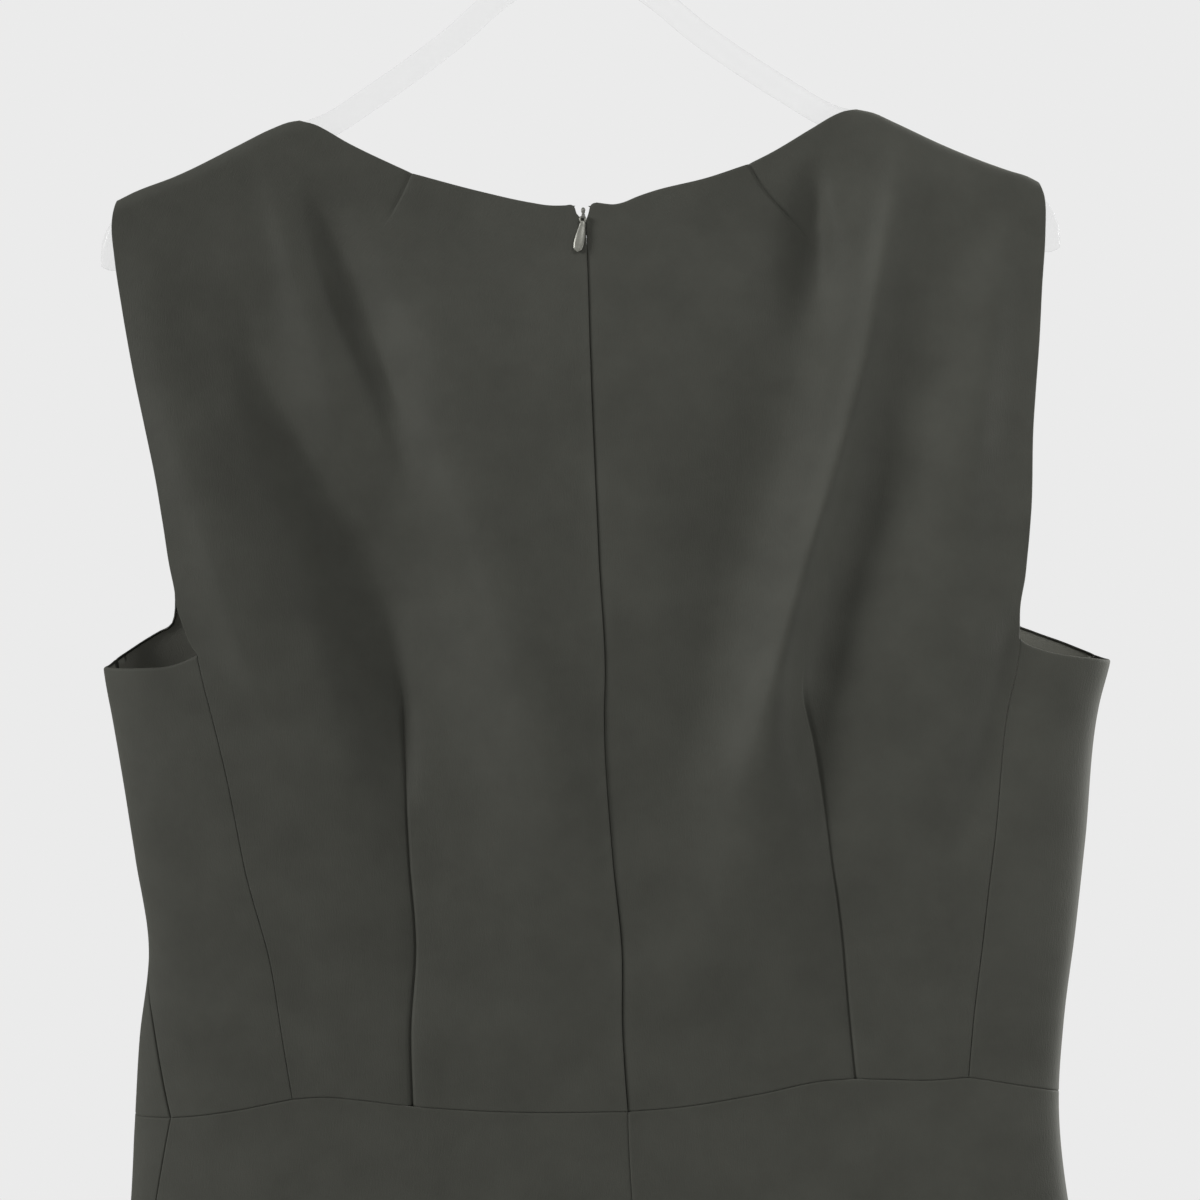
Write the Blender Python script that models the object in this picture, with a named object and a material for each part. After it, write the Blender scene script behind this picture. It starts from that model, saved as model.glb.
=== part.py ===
"""Sleeveless sheath dress hanging on a clear plastic hanger.

The garment's back faces -Y, +X is its right as seen from there, and +Z is up. The origin is the inside top of the
hanger's hook, where a rail or a wall hook carries it. Sizes in the tables are millimetres. "drop" is the distance
below the neck points, and "turn" is the place round the body in degrees: 0 at the back, 90 at the right side, 180 at
the front, 270 or -90 at the left side.
"""

import math
from collections import namedtuple

import bmesh
import bpy
import numpy as np
from mathutils import Matrix, Vector

MM = 0.001

# Driving sizes
HOOK_TO_NECK = 143.0
CLOTH = 1.2
SEAM_GAP = 0.3
HEM_DROP = 980.0
NECK_POINT = 125.0
SHOULDER_SLOPE = math.tan(math.radians(23.0))
SHOULDER_RADIUS = 6.5
SHOULDER_SPREAD = 150.0
SIDE_BLUNTNESS = 0.6
ARC_PER_TURN = 3.8
NORMAL_STEP = 1.5
SHARP_EDGE = math.radians(50.0)

# The body of the dress, a row for each height: how far it reaches left, right, back and front
Ring = namedtuple("Ring", "drop left right back front")
RINGS = (
    Ring(drop=-60, left=-232, right=232, back=11, front=11),
    Ring(drop=45, left=-231, right=232, back=15, front=15),
    Ring(drop=120, left=-227, right=232, back=25, front=28),
    Ring(drop=200, left=-220, right=233, back=34, front=41),
    Ring(drop=250, left=-217, right=234, back=38, front=47),
    Ring(drop=268, left=-214, right=229, back=38, front=47),
    Ring(drop=331, left=-205, right=221, back=36, front=43),
    Ring(drop=370, left=-200, right=216, back=33, front=38),
    Ring(drop=411, left=-205, right=210, back=31, front=34),
    Ring(drop=450, left=-208, right=207, back=31, front=33),
    Ring(drop=490, left=-211, right=210, back=34, front=36),
    Ring(drop=560, left=-225, right=226, back=41, front=41),
    Ring(drop=640, left=-241, right=241, back=47, front=45),
    Ring(drop=740, left=-244, right=244, back=46, front=46),
    Ring(drop=860, left=-237, right=237, back=43, front=43),
    Ring(drop=HEM_DROP, left=-229, right=229, back=40, front=41),
)

# Edges and seams, as (x, drop) on the back or the front
SHOULDER_LEFT = ((-208, 35), (-180, 23.5), (-154, 12), (-NECK_POINT, 0))
SHOULDER_RIGHT = ((NECK_POINT, 0), (143, 7.5), (167, 18.7), (194, 29.6), (208, 36))
PAST_SHOULDER_LEFT = (-240, 49)
PAST_SHOULDER_RIGHT = (240, 50)
NECK_BACK_LEFT = ((-NECK_POINT, 0), (-102, 13), (-80, 24), (-44, 35.5), (-18, 41), (-2.6, 42.3))
NECK_BACK_RIGHT = ((4.7, 42.1), (18, 41.3), (32, 36.8), (58, 31), (85, 21), (104, 10.5), (NECK_POINT, 0))
NECK_FRONT = ((NECK_POINT, 0), (104, 30), (68, 63), (0, 82), (-68, 63), (-104, 30), (-NECK_POINT, 0))
ARMHOLE_BACK_LEFT = ((-208, 35), (-207.5, 48), (-196.5, 125), (-187.5, 179), (-178.5, 208), (-173.5, 239.5))
ARMHOLE_BACK_RIGHT = ((208, 36), (207, 56), (203, 105), (199.5, 159), (195.5, 205), (190.5, 241))
ARMHOLE_FRONT_LEFT = ((-208, 35), (-199, 80), (-192, 130), (-189, 185), (-193, 222), (-205, 235), (-214, 241))
ARMHOLE_FRONT_RIGHT = ((208, 36), (200, 80), (193, 130), (190, 185), (193, 225), (208, 240), (224, 247))
ZIP_NOTCH_LEFT = ((-2.6, 42.3), (0.4, 49.5))
ZIP_NOTCH_RIGHT = ((4.7, 42.1), (2.8, 49.5))
CENTRE_BACK = ((1.6, 52.5), (3.5, 130), (7.2, 250), (10.4, 350), (13.4, 443))
CENTRE_BACK_SKIRT = ((13.4, 443), (14.5, 485), (16, 640), (15, HEM_DROP))
SIDE_BACK_LEFT = ((-173.5, 239.5), (-162, 286), (-148, 356), (-138, 413), (-134.5, 434.5))
SIDE_BACK_RIGHT = ((190.5, 241), (182, 292), (173, 363), (166.5, 413), (164.5, 431.3))
WAIST_BACK_LEFT = ((-134.5, 434.5), (-121, 433.7), (-82, 439), (-43, 442), (13.4, 443))
WAIST_BACK_RIGHT = ((13.4, 443), (45, 440.6), (72, 435.8), (98, 430.9), (133, 430.9), (164.5, 431.3))

# Edges and seams that go round the sides, as (turn, drop)
UNDERARM_LEFT = ((-98, 243), (-90, 244.8), (-72, 246), (-62, 244))
UNDERARM_RIGHT = ((58, 248), (66, 252), (90, 251), (100, 249))
SIDE_SEAM_LEFT = ((-98, 243), (-94, 320), (-90, 370), (-78, 411), (-72, 440))
SIDE_SEAM_RIGHT = ((100, 249), (102, 340), (105, 438))
SIDE_SEAM_SKIRT_LEFT = ((-72, 440), (-72, 480), (-80, 700), (-86, HEM_DROP))
SIDE_SEAM_SKIRT_RIGHT = ((105, 438), (104, 560), (98, 700), (94, HEM_DROP))
WAIST_SIDE_LEFT = ((-72, 440), (-62, 441.6), (-50, 441.5))
WAIST_SIDE_RIGHT = ((64, 434.5), (84, 437.5), (105, 438))
WAIST_FRONT = ((140, 440), (180, 441), (220, 440))

# Soft folds, from start to end through middle, each (x, drop). A positive rise stands out, a negative one sinks in
FOLD_STEPS = 24
FOLD_END_SHARE = 0.25
FOLD_TAPER = 0.7
FOLDS_BELOW_SHOULDER = 40.0
Fold = namedtuple("Fold", "side start middle end half_width rise")
FOLDS = (
    Fold("back", start=(-152, 85), middle=(-130, 180), end=(-84, 300), half_width=19, rise=-9),
    Fold("back", start=(-119, 35), middle=(-108, 75), end=(-88, 125), half_width=9, rise=-3.5),
    Fold("back", start=(-106, 35), middle=(-72, 140), end=(-20, 300), half_width=16, rise=4.5),
    Fold("back", start=(-138, 45), middle=(-124, 106), end=(-92, 185), half_width=9, rise=3),
    Fold("back", start=(-187, 50), middle=(-173, 127), end=(-158, 215), half_width=14, rise=3),
    Fold("back", start=(132, 22), middle=(106, 165), end=(40, 385), half_width=14, rise=8.5),
    Fold("back", start=(97, 30), middle=(100, 62), end=(88, 95), half_width=8, rise=-3.5),
    Fold("back", start=(133, 95), middle=(120, 200), end=(102, 310), half_width=14, rise=-7),
    Fold("back", start=(181, 50), middle=(158, 133), end=(145, 230), half_width=14, rise=3.5),
    Fold("back", start=(178, 225), middle=(174, 262), end=(169, 305), half_width=10, rise=-3),
    Fold("back", start=(56, 105), middle=(40, 160), end=(26, 215), half_width=18, rise=-2.5),
    Fold("back", start=(-125, 452), middle=(-128, 600), end=(-120, 860), half_width=18, rise=-3.5),
    Fold("back", start=(114, 448), middle=(126, 590), end=(130, 850), half_width=18, rise=-3.5),
    Fold("back", start=(-66, 560), middle=(-62, 760), end=(-68, 975), half_width=22, rise=3.5),
    Fold("back", start=(72, 600), middle=(80, 790), end=(86, 975), half_width=20, rise=4),
    Fold("front", start=(-92, 205), middle=(-90, 245), end=(-88, 285), half_width=50, rise=12),
    Fold("front", start=(102, 205), middle=(101, 245), end=(99, 285), half_width=50, rise=12),
    Fold("front", start=(-124, 25), middle=(-118, 110), end=(-98, 205), half_width=15, rise=4),
    Fold("front", start=(127, 28), middle=(124, 120), end=(108, 215), half_width=16, rise=5),
    Fold("front", start=(4, 95), middle=(8, 210), end=(8, 350), half_width=26, rise=-5),
    Fold("front", start=(-160, 60), middle=(-152, 140), end=(-138, 225), half_width=13, rise=-4),
    Fold("front", start=(166, 70), middle=(160, 150), end=(150, 235), half_width=13, rise=-5),
    Fold("front", start=(-118, 455), middle=(-112, 640), end=(-120, 900), half_width=20, rise=-4),
    Fold("front", start=(112, 455), middle=(122, 620), end=(116, 880), half_width=20, rise=-3.5),
    Fold("front", start=(-40, 590), middle=(-36, 780), end=(-44, 975), half_width=24, rise=4),
    Fold("front", start=(58, 560), middle=(50, 770), end=(56, 975), half_width=22, rise=3),
)

# Columns and rows of each panel's grid
SHOULDER_COLUMNS = 6
HALF_NECK_COLUMNS = 8
SIDE_COLUMNS = 6
SKIRT_BACK_COLUMNS = 10
SKIRT_FRONT_COLUMNS = 24
ARMHOLE_ROWS = 13
SEAM_ROWS = 11
SKIRT_ROWS = 18
SHOULDER_EXTRA_ROWS = (0.1, 0.35)
CLOSE_POINT = 0.15

# Zip: an invisible one, with only its slider's bridge and pull tab outside the cloth
ZIP_TAPE_WIDTH = 24.0
ZIP_TAPE_ROWS = 30
ZIP_TAPE_COLUMNS = 3
ZIP_TAPE = 1.0
ZIP_TAPE_START = 55.8
ZIP_TAPE_END = 620.0
SLIDER_WIDTH = 5.6
SLIDER_THICKNESS = 2.6
SLIDER_ROUNDING = 0.6
SLIDER_START = 44.0
SLIDER_END = 55.0
PULL_DROP = 47.6
PULL_X = 1.6
PULL_LEAN = 12.0
PULL_PROUD = 1.5
PULL_LENGTH = 15.5
PULL_WIDTH = 5.4
PULL_THICKNESS = 1.1
PULL_STEPS = 14
PULL_BAR_RADIUS = 0.55
PULL_HOLE_WIDTH = 2.2
PULL_HOLE_END = 2.4
BRIDGE_INNER = 0.9
BRIDGE_OUTER = 1.8
BRIDGE_WIDTH = 1.3
BRIDGE_ROOT = 1.0

# The pull tab's outline: a slim neck that swells into a drop
Mark = namedtuple("Mark", "down half_width")
PULL_OUTLINE = (
    Mark(down=-1.0, half_width=0.9),
    Mark(down=0, half_width=1.9),
    Mark(down=3, half_width=1.9),
    Mark(down=6, half_width=2.2),
    Mark(down=10.5, half_width=PULL_WIDTH / 2),
    Mark(down=13.5, half_width=2.1),
    Mark(down=PULL_LENGTH, half_width=0.6),
)

# Hanger: one moulding in clear plastic
ARM_HALF_HEIGHT = 5.5
ARM_HALF_THICKNESS = 2.6
ARM_CLEARANCE = 0.8
ARM_SIDES = 10
ARM_STEPS = 45
ARM_SEATS = (190.0, 170.0, 150.0, 130.0)
ARM_TIP = ((204, 44.5), (209, 52), (210.5, 66))
ARM_INSIDE_NECK = ((112, 2.4), (95, -8), (60, -32), (24, -60), (0, -69))
HOOK_WIRE = 3.5
HOOK_INNER = 19.0
HOOK_SIDES = 10
HOOK_STEM = ((0, -74.9), (0, -88), (3.5, -97), (12, -105.5))
HOOK_ARC_START = -38.0
HOOK_ARC_END = 205.0
HOOK_ARC_STEPS = 16
BAR_END_SIZE = 0.6


def clear_scene():
    for old in list(bpy.data.objects):
        bpy.data.objects.remove(old)


def material(name, colour, roughness, metallic=0.0, alpha=1.0):
    made = bpy.data.materials.new(name)
    made.use_nodes = True
    shader = made.node_tree.nodes["Principled BSDF"]
    shader.inputs["Base Color"].default_value = (*colour, 1.0)
    shader.inputs["Roughness"].default_value = roughness
    shader.inputs["Metallic"].default_value = metallic
    shader.inputs["Alpha"].default_value = alpha
    return made


def hermite(knots, values, at):
    """A smooth curve through (knots, values), read at each of the places in at."""
    knots, values = np.asarray(knots, float), np.asarray(values, float)
    at = np.clip(at, knots[0], knots[-1])
    slopes = np.gradient(values, knots) if len(knots) > 2 else np.full(2, np.diff(values)[0] / np.diff(knots)[0])
    i = np.clip(np.searchsorted(knots, at, side="right") - 1, 0, len(knots) - 2)
    span = knots[i + 1] - knots[i]
    t = (at - knots[i]) / span
    return (
        values[i] * (2 * t**3 - 3 * t**2 + 1)
        + values[i + 1] * (3 * t**2 - 2 * t**3)
        + slopes[i] * span * (t**3 - 2 * t**2 + t)
        + slopes[i + 1] * span * (t**3 - t**2)
    )


def ring_size(column, drop):
    return hermite([ring.drop for ring in RINGS], [getattr(ring, column) for ring in RINGS], drop)


def ease(t):
    t = np.clip(t, 0, 1)
    return t * t * (3 - 2 * t)


def shoulder_drop(x):
    """The shoulder line's drop at x. Between the neck points it goes on up at the same slope."""
    left = [PAST_SHOULDER_LEFT, *SHOULDER_LEFT]
    right = [*SHOULDER_RIGHT, PAST_SHOULDER_RIGHT]
    outside = np.where(x < 0, hermite(*zip(*left), x), hermite(*zip(*right), x))
    return np.where(np.abs(x) < NECK_POINT, (np.abs(x) - NECK_POINT) * SHOULDER_SLOPE, outside)


def fold_path(fold):
    """Points along a fold: a parabola from its start to its end that passes through its middle."""
    start, middle, end = (np.array(point, float) for point in (fold.start, fold.middle, fold.end))
    pull = 2 * middle - (start + end) / 2
    t = np.linspace(0, 1, FOLD_STEPS)[:, None]
    return (1 - t) ** 2 * start + 2 * t * (1 - t) * pull + t**2 * end


def fold_rise(x, drop, side):
    """How far the folds of one side lift the cloth at each point."""
    rise = np.zeros_like(x)
    for fold in FOLDS:
        if fold.side != side:
            continue
        path = fold_path(fold)
        away = np.hypot(x[..., None] - path[:, 0], drop[..., None] - path[:, 1])
        nearest = away.argmin(-1)
        along = nearest / (len(path) - 1)
        fade = FOLD_END_SHARE + (1 - FOLD_END_SHARE) * np.sin(np.pi * along) ** FOLD_TAPER
        rise += fold.rise * fade * np.exp(-((away.min(-1) / fold.half_width) ** 2))
    return rise


def surface(turn, drop, inward=0.0):
    """Points on the outer face of the cloth, or inward of it."""
    left, right = ring_size("left", drop), ring_size("right", drop)
    angle = np.radians(turn)
    x = (left + right) / 2 + (right - left) / 2 * np.sin(angle)
    back = np.cos(angle) > 0
    across = np.abs(np.cos(angle)) ** SIDE_BLUNTNESS
    depth = np.where(back, ring_size("back", drop), ring_size("front", drop)) * across
    below = np.maximum(drop - shoulder_drop(x), 0)
    over = np.sqrt(1 - (1 - np.minimum(below / SHOULDER_RADIUS, 1)) ** 2)
    spread = ease(below / SHOULDER_SPREAD)
    folds = np.where(back, fold_rise(x, drop, "back"), fold_rise(x, drop, "front"))
    out = (1 - spread) * SHOULDER_RADIUS * over + spread * depth
    out += folds * across * ease(below / FOLDS_BELOW_SHOULDER) - inward
    return np.stack([x, np.where(back, -out, out), -(drop + HOOK_TO_NECK)], -1)


def on_back(marks):
    """(x, drop) on the back as (turn, drop)."""
    marks = np.array(marks, float)
    left, right = ring_size("left", marks[:, 1]), ring_size("right", marks[:, 1])
    sine = (marks[:, 0] - (left + right) / 2) / ((right - left) / 2)
    return np.stack([np.degrees(np.arcsin(sine)), marks[:, 1]], -1)


def on_front(marks):
    """(x, drop) on the front as (turn, drop)."""
    turned = on_back(marks)
    return np.stack([180 - turned[:, 0], turned[:, 1]], -1)


def past_left(marks):
    """(turn, drop) near the left side, counted on from the front."""
    return np.array(marks, float) + (360, 0)


def run(marks, count, close_start=False, close_end=False):
    """count + 1 evenly spaced points on a smooth curve through (turn, drop) marks.

    close_start or close_end adds one more point close to that end.
    """
    marks = np.array(marks, float)
    steps = np.hypot(np.diff(marks[:, 0]) * ARC_PER_TURN, np.diff(marks[:, 1]))
    length = np.concatenate([[0], np.cumsum(steps)])
    at = list(np.linspace(0, 1, count + 1))
    if close_start:
        at.insert(1, CLOSE_POINT / count)
    if close_end:
        at.insert(-1, 1 - CLOSE_POINT / count)
    return np.stack([hermite(length, marks[:, k], np.array(at) * length[-1]) for k in (0, 1)], -1)


def chain(*runs):
    """Runs joined end to end."""
    return np.concatenate([runs[0], *[following[1:] for following in runs[1:]]])


def coons(top, bottom, left, right):
    """A grid of (turn, drop) between four edges: rows go down and columns go right."""
    u = np.linspace(0, 1, len(top))[None, :, None]
    v = np.linspace(0, 1, len(left))[:, None, None]
    ruled = (1 - v) * top[None] + v * bottom[None] + (1 - u) * left[:, None] + u * right[:, None]
    corners = (1 - v) * ((1 - u) * top[0] + u * top[-1]) + v * ((1 - u) * bottom[0] + u * bottom[-1])
    return ruled - corners


def with_shoulder_rows(grid):
    """The grid with rows added close under its top edge, where the cloth bends over the hanger."""
    added = [grid[0] + (grid[1] - grid[0]) * part for part in SHOULDER_EXTRA_ROWS]
    return np.concatenate([grid[:1], added, grid[1:]])


def inward_normals(turn, drop):
    """The directions into the body, the same for two panels along the seam between them."""
    right = surface(turn + NORMAL_STEP, drop) - surface(turn - NORMAL_STEP, drop)
    down = surface(turn, drop + NORMAL_STEP) - surface(turn, drop - NORMAL_STEP)
    normals = np.cross(right, down)
    return normals / np.linalg.norm(normals, axis=-1, keepdims=True)


def pull_in(points, distance):
    """Moves the four edges of a grid of points inwards, along the grid."""
    for edge, inner in ((np.s_[0], np.s_[1]), (np.s_[-1], np.s_[-2])):
        for axis in (0, 1):
            grid = points if axis == 0 else points.swapaxes(0, 1)
            step = grid[inner] - grid[edge]
            grid[edge] += step / np.linalg.norm(step, axis=-1, keepdims=True) * distance


def wall(name, outer, inner, finish):
    """A closed wall between two grids of points, in millimetres."""
    rows, columns = outer.shape[:2]
    body = bmesh.new()
    sheets = [
        [[body.verts.new(Vector(point) * MM) for point in row] for row in sheet] for sheet in (outer, inner)
    ]
    for sheet, turned in zip(sheets, (False, True)):
        for j in range(rows - 1):
            for i in range(columns - 1):
                corners = (sheet[j][i], sheet[j + 1][i], sheet[j + 1][i + 1], sheet[j][i + 1])
                body.faces.new(corners[::-1] if turned else corners)
    rim = [(0, i) for i in range(columns)] + [(j, columns - 1) for j in range(1, rows)]
    rim += [(rows - 1, i) for i in range(columns - 2, -1, -1)] + [(j, 0) for j in range(rows - 2, 0, -1)]
    for (j, i), (l, k) in zip(rim, rim[1:] + rim[:1]):
        body.faces.new((sheets[0][j][i], sheets[0][l][k], sheets[1][l][k], sheets[1][j][i]))
    return finished(name, body, finish)


def finished(name, body, finish):
    mesh = bpy.data.meshes.new(name)
    body.to_mesh(mesh)
    body.free()
    mesh.shade_smooth()
    mesh.set_sharp_from_angle(angle=SHARP_EDGE)
    mesh.materials.append(finish)
    made = bpy.data.objects.new(name, mesh)
    bpy.context.scene.collection.objects.link(made)
    return made


def panel(name, finish, top, bottom, left, right, shoulder_columns=()):
    """One cut piece of the dress. Along a shoulder seam the wall stands upright, so that front and back don't cross."""
    grid = coons(top, bottom, left, right)
    if shoulder_columns:
        grid = with_shoulder_rows(grid)
    outer = surface(grid[..., 0], grid[..., 1])
    normals = inward_normals(grid[..., 0], grid[..., 1])
    for first, last in shoulder_columns:
        normals[0, first:last] = (0, 0, -1)
    inner = outer + normals * CLOTH
    for points in (outer, inner):
        pull_in(points, SEAM_GAP / 2)
    return wall(name, outer, inner, finish)


def back_bodice(cloth):
    columns = SHOULDER_COLUMNS + HALF_NECK_COLUMNS + 1
    zip_edge = run(on_back(CENTRE_BACK), ARMHOLE_ROWS + SEAM_ROWS - 2)
    neck_left = run(on_back(NECK_BACK_LEFT), HALF_NECK_COLUMNS, close_start=True)
    neck_right = run(on_back(NECK_BACK_RIGHT), HALF_NECK_COLUMNS, close_end=True)
    panel(
        "back_left",
        cloth,
        top=chain(run(on_back(SHOULDER_LEFT), SHOULDER_COLUMNS), neck_left),
        bottom=run(on_back(WAIST_BACK_LEFT), columns),
        left=chain(run(on_back(ARMHOLE_BACK_LEFT), ARMHOLE_ROWS), run(on_back(SIDE_BACK_LEFT), SEAM_ROWS)),
        right=np.concatenate([on_back(ZIP_NOTCH_LEFT), zip_edge]),
        shoulder_columns=[(0, SHOULDER_COLUMNS + 1)],
    )
    panel(
        "back_right",
        cloth,
        top=chain(neck_right, run(on_back(SHOULDER_RIGHT), SHOULDER_COLUMNS)),
        bottom=run(on_back(WAIST_BACK_RIGHT), columns),
        left=np.concatenate([on_back(ZIP_NOTCH_RIGHT), zip_edge]),
        right=chain(run(on_back(ARMHOLE_BACK_RIGHT), ARMHOLE_ROWS), run(on_back(SIDE_BACK_RIGHT), SEAM_ROWS)),
        shoulder_columns=[(HALF_NECK_COLUMNS + 1, columns + 1)],
    )


def side_backs(cloth):
    corner_left, corner_right = on_back(SIDE_BACK_LEFT[:1]), on_back(SIDE_BACK_RIGHT[:1])
    panel(
        "side_back_left",
        cloth,
        top=run(np.concatenate([UNDERARM_LEFT, corner_left]), SIDE_COLUMNS),
        bottom=waist_side_left(),
        left=run(SIDE_SEAM_LEFT, SEAM_ROWS),
        right=run(on_back(SIDE_BACK_LEFT), SEAM_ROWS),
    )
    panel(
        "side_back_right",
        cloth,
        top=run(np.concatenate([corner_right, UNDERARM_RIGHT]), SIDE_COLUMNS),
        bottom=waist_side_right(),
        left=run(on_back(SIDE_BACK_RIGHT), SEAM_ROWS),
        right=run(SIDE_SEAM_RIGHT, SEAM_ROWS),
    )


def waist_side_left():
    return run(np.concatenate([WAIST_SIDE_LEFT, on_back(SIDE_BACK_LEFT[-1:])]), SIDE_COLUMNS)


def waist_side_right():
    return run(np.concatenate([on_back(SIDE_BACK_RIGHT[-1:]), WAIST_SIDE_RIGHT]), SIDE_COLUMNS)


def front_waist(count):
    """The front's half of the waist seam, from the right side seam round to the left one."""
    return run([SIDE_SEAM_RIGHT[-1], *WAIST_FRONT, past_left(SIDE_SEAM_LEFT[-1:])[0]], count)


def front_bodice(cloth):
    columns = 2 * SHOULDER_COLUMNS + 2 * HALF_NECK_COLUMNS + 2
    armhole_right = np.concatenate([on_front(ARMHOLE_FRONT_RIGHT), SIDE_SEAM_RIGHT[:1]])
    armhole_left = np.concatenate([on_front(ARMHOLE_FRONT_LEFT), past_left(SIDE_SEAM_LEFT[:1])])
    panel(
        "front_bodice",
        cloth,
        top=chain(
            run(on_front(SHOULDER_RIGHT[::-1]), SHOULDER_COLUMNS),
            run(on_front(NECK_FRONT), 2 * HALF_NECK_COLUMNS, close_start=True, close_end=True),
            run(on_front(SHOULDER_LEFT[::-1]), SHOULDER_COLUMNS),
        ),
        bottom=front_waist(columns),
        left=chain(run(armhole_right, ARMHOLE_ROWS), run(SIDE_SEAM_RIGHT, SEAM_ROWS)),
        right=chain(run(armhole_left, ARMHOLE_ROWS), run(past_left(SIDE_SEAM_LEFT), SEAM_ROWS)),
        shoulder_columns=[(0, SHOULDER_COLUMNS + 1), (columns - SHOULDER_COLUMNS, columns + 1)],
    )


def hem(start, end, count):
    return np.stack([np.linspace(start, end, count + 1), np.full(count + 1, HEM_DROP)], -1)


def skirt(cloth):
    centre = run(on_back(CENTRE_BACK_SKIRT), SKIRT_ROWS)
    side_left, side_right = run(SIDE_SEAM_SKIRT_LEFT, SKIRT_ROWS), run(SIDE_SEAM_SKIRT_RIGHT, SKIRT_ROWS)
    columns = SIDE_COLUMNS + SKIRT_BACK_COLUMNS
    waist_left = chain(waist_side_left(), run(on_back(WAIST_BACK_LEFT), SKIRT_BACK_COLUMNS))
    waist_right = chain(run(on_back(WAIST_BACK_RIGHT), SKIRT_BACK_COLUMNS), waist_side_right())
    panel(
        "skirt_back_left",
        cloth,
        top=waist_left,
        bottom=hem(side_left[-1, 0], centre[-1, 0], columns),
        left=side_left,
        right=centre,
    )
    panel(
        "skirt_back_right",
        cloth,
        top=waist_right,
        bottom=hem(centre[-1, 0], side_right[-1, 0], columns),
        left=centre,
        right=side_right,
    )
    panel(
        "skirt_front",
        cloth,
        top=front_waist(SKIRT_FRONT_COLUMNS),
        bottom=hem(side_right[-1, 0], 360 + side_left[-1, 0], SKIRT_FRONT_COLUMNS),
        left=side_right,
        right=side_left + (360, 0),
    )


def zip_tape(tape):
    """The zip's two tapes and coil as one strip, which follows the inside of the centre back seam."""
    drops = np.linspace(ZIP_TAPE_START, ZIP_TAPE_END, ZIP_TAPE_ROWS)
    seam = np.array(CENTRE_BACK + CENTRE_BACK_SKIRT[1:], float)
    middle = hermite(seam[:, 1], seam[:, 0], drops)
    across = np.linspace(-ZIP_TAPE_WIDTH / 2, ZIP_TAPE_WIDTH / 2, ZIP_TAPE_COLUMNS)
    marks = np.stack(np.broadcast_arrays(middle[:, None] + across, drops[:, None]), -1)
    grid = on_back(marks.reshape(-1, 2)).reshape(marks.shape)
    inside = CLOTH + 2 * SEAM_GAP
    outer = surface(grid[..., 0], grid[..., 1], inside)
    inner = surface(grid[..., 0], grid[..., 1], inside + ZIP_TAPE)
    wall("zip_tape", outer, inner, tape)


def cloth_at(x, drop):
    """The outer face of the back at one point, as a vector in metres."""
    turn, low = on_back([(x, drop)])[0]
    return Vector(surface(np.array([turn]), np.array([low]))[0]) * MM


def zip_place(lean=0.0):
    """The frame of the zip's metal: X is the tab's hinge, and Z runs up along the cloth, leaning by an angle."""
    seat, lower = cloth_at(PULL_X, PULL_DROP), cloth_at(PULL_X, PULL_DROP + PULL_LENGTH)
    tilt = math.atan2(seat.y - lower.y, seat.z - lower.z)
    turn = Matrix.Rotation(-tilt, 4, "X") @ Matrix.Rotation(math.radians(lean), 4, "Y")
    return Matrix.Translation(seat + Vector((0, -PULL_PROUD * MM, 0))) @ turn


def extrude_outline(points, thickness, axis):
    """A prism of an outline in millimetres, centred on the plane through the origin across the axis."""
    body = bmesh.new()
    first = {"x": lambda p: (-thickness / 2, *p), "y": lambda p: (p[0], -thickness / 2, p[1])}[axis]
    face = body.faces.new([body.verts.new(Vector(first(p)) * MM) for p in points])
    grown = bmesh.ops.extrude_face_region(body, geom=[face])
    moved = [item for item in grown["geom"] if isinstance(item, bmesh.types.BMVert)]
    step = {"x": (thickness * MM, 0, 0), "y": (0, thickness * MM, 0)}[axis]
    bmesh.ops.translate(body, verts=moved, vec=step)
    bmesh.ops.recalc_face_normals(body, faces=body.faces)
    return body


def zip_pull(metal):
    steps = np.linspace(-PULL_BAR_RADIUS, PULL_LENGTH, PULL_STEPS)
    side = list(zip(hermite(*zip(*PULL_OUTLINE), steps), -steps))
    tab = finished("zip_pull", extrude_outline(side + [(-x, z) for x, z in side[::-1]], PULL_THICKNESS, "y"), metal)
    half = PULL_HOLE_WIDTH / 2
    hole = [(half, -PULL_BAR_RADIUS), (-half, -PULL_BAR_RADIUS), (-half, -PULL_HOLE_END), (half, -PULL_HOLE_END)]
    cutter = finished("zip_pull_hole", extrude_outline(hole, 3 * PULL_THICKNESS, "y"), metal)
    cutter.hide_render = True
    cutter.display_type = "WIRE"
    cut = tab.modifiers.new("bridge hole", "BOOLEAN")
    cut.operation = "DIFFERENCE"
    cut.object = cutter
    for piece in (tab, cutter):
        piece.matrix_world = zip_place(PULL_LEAN)


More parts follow.
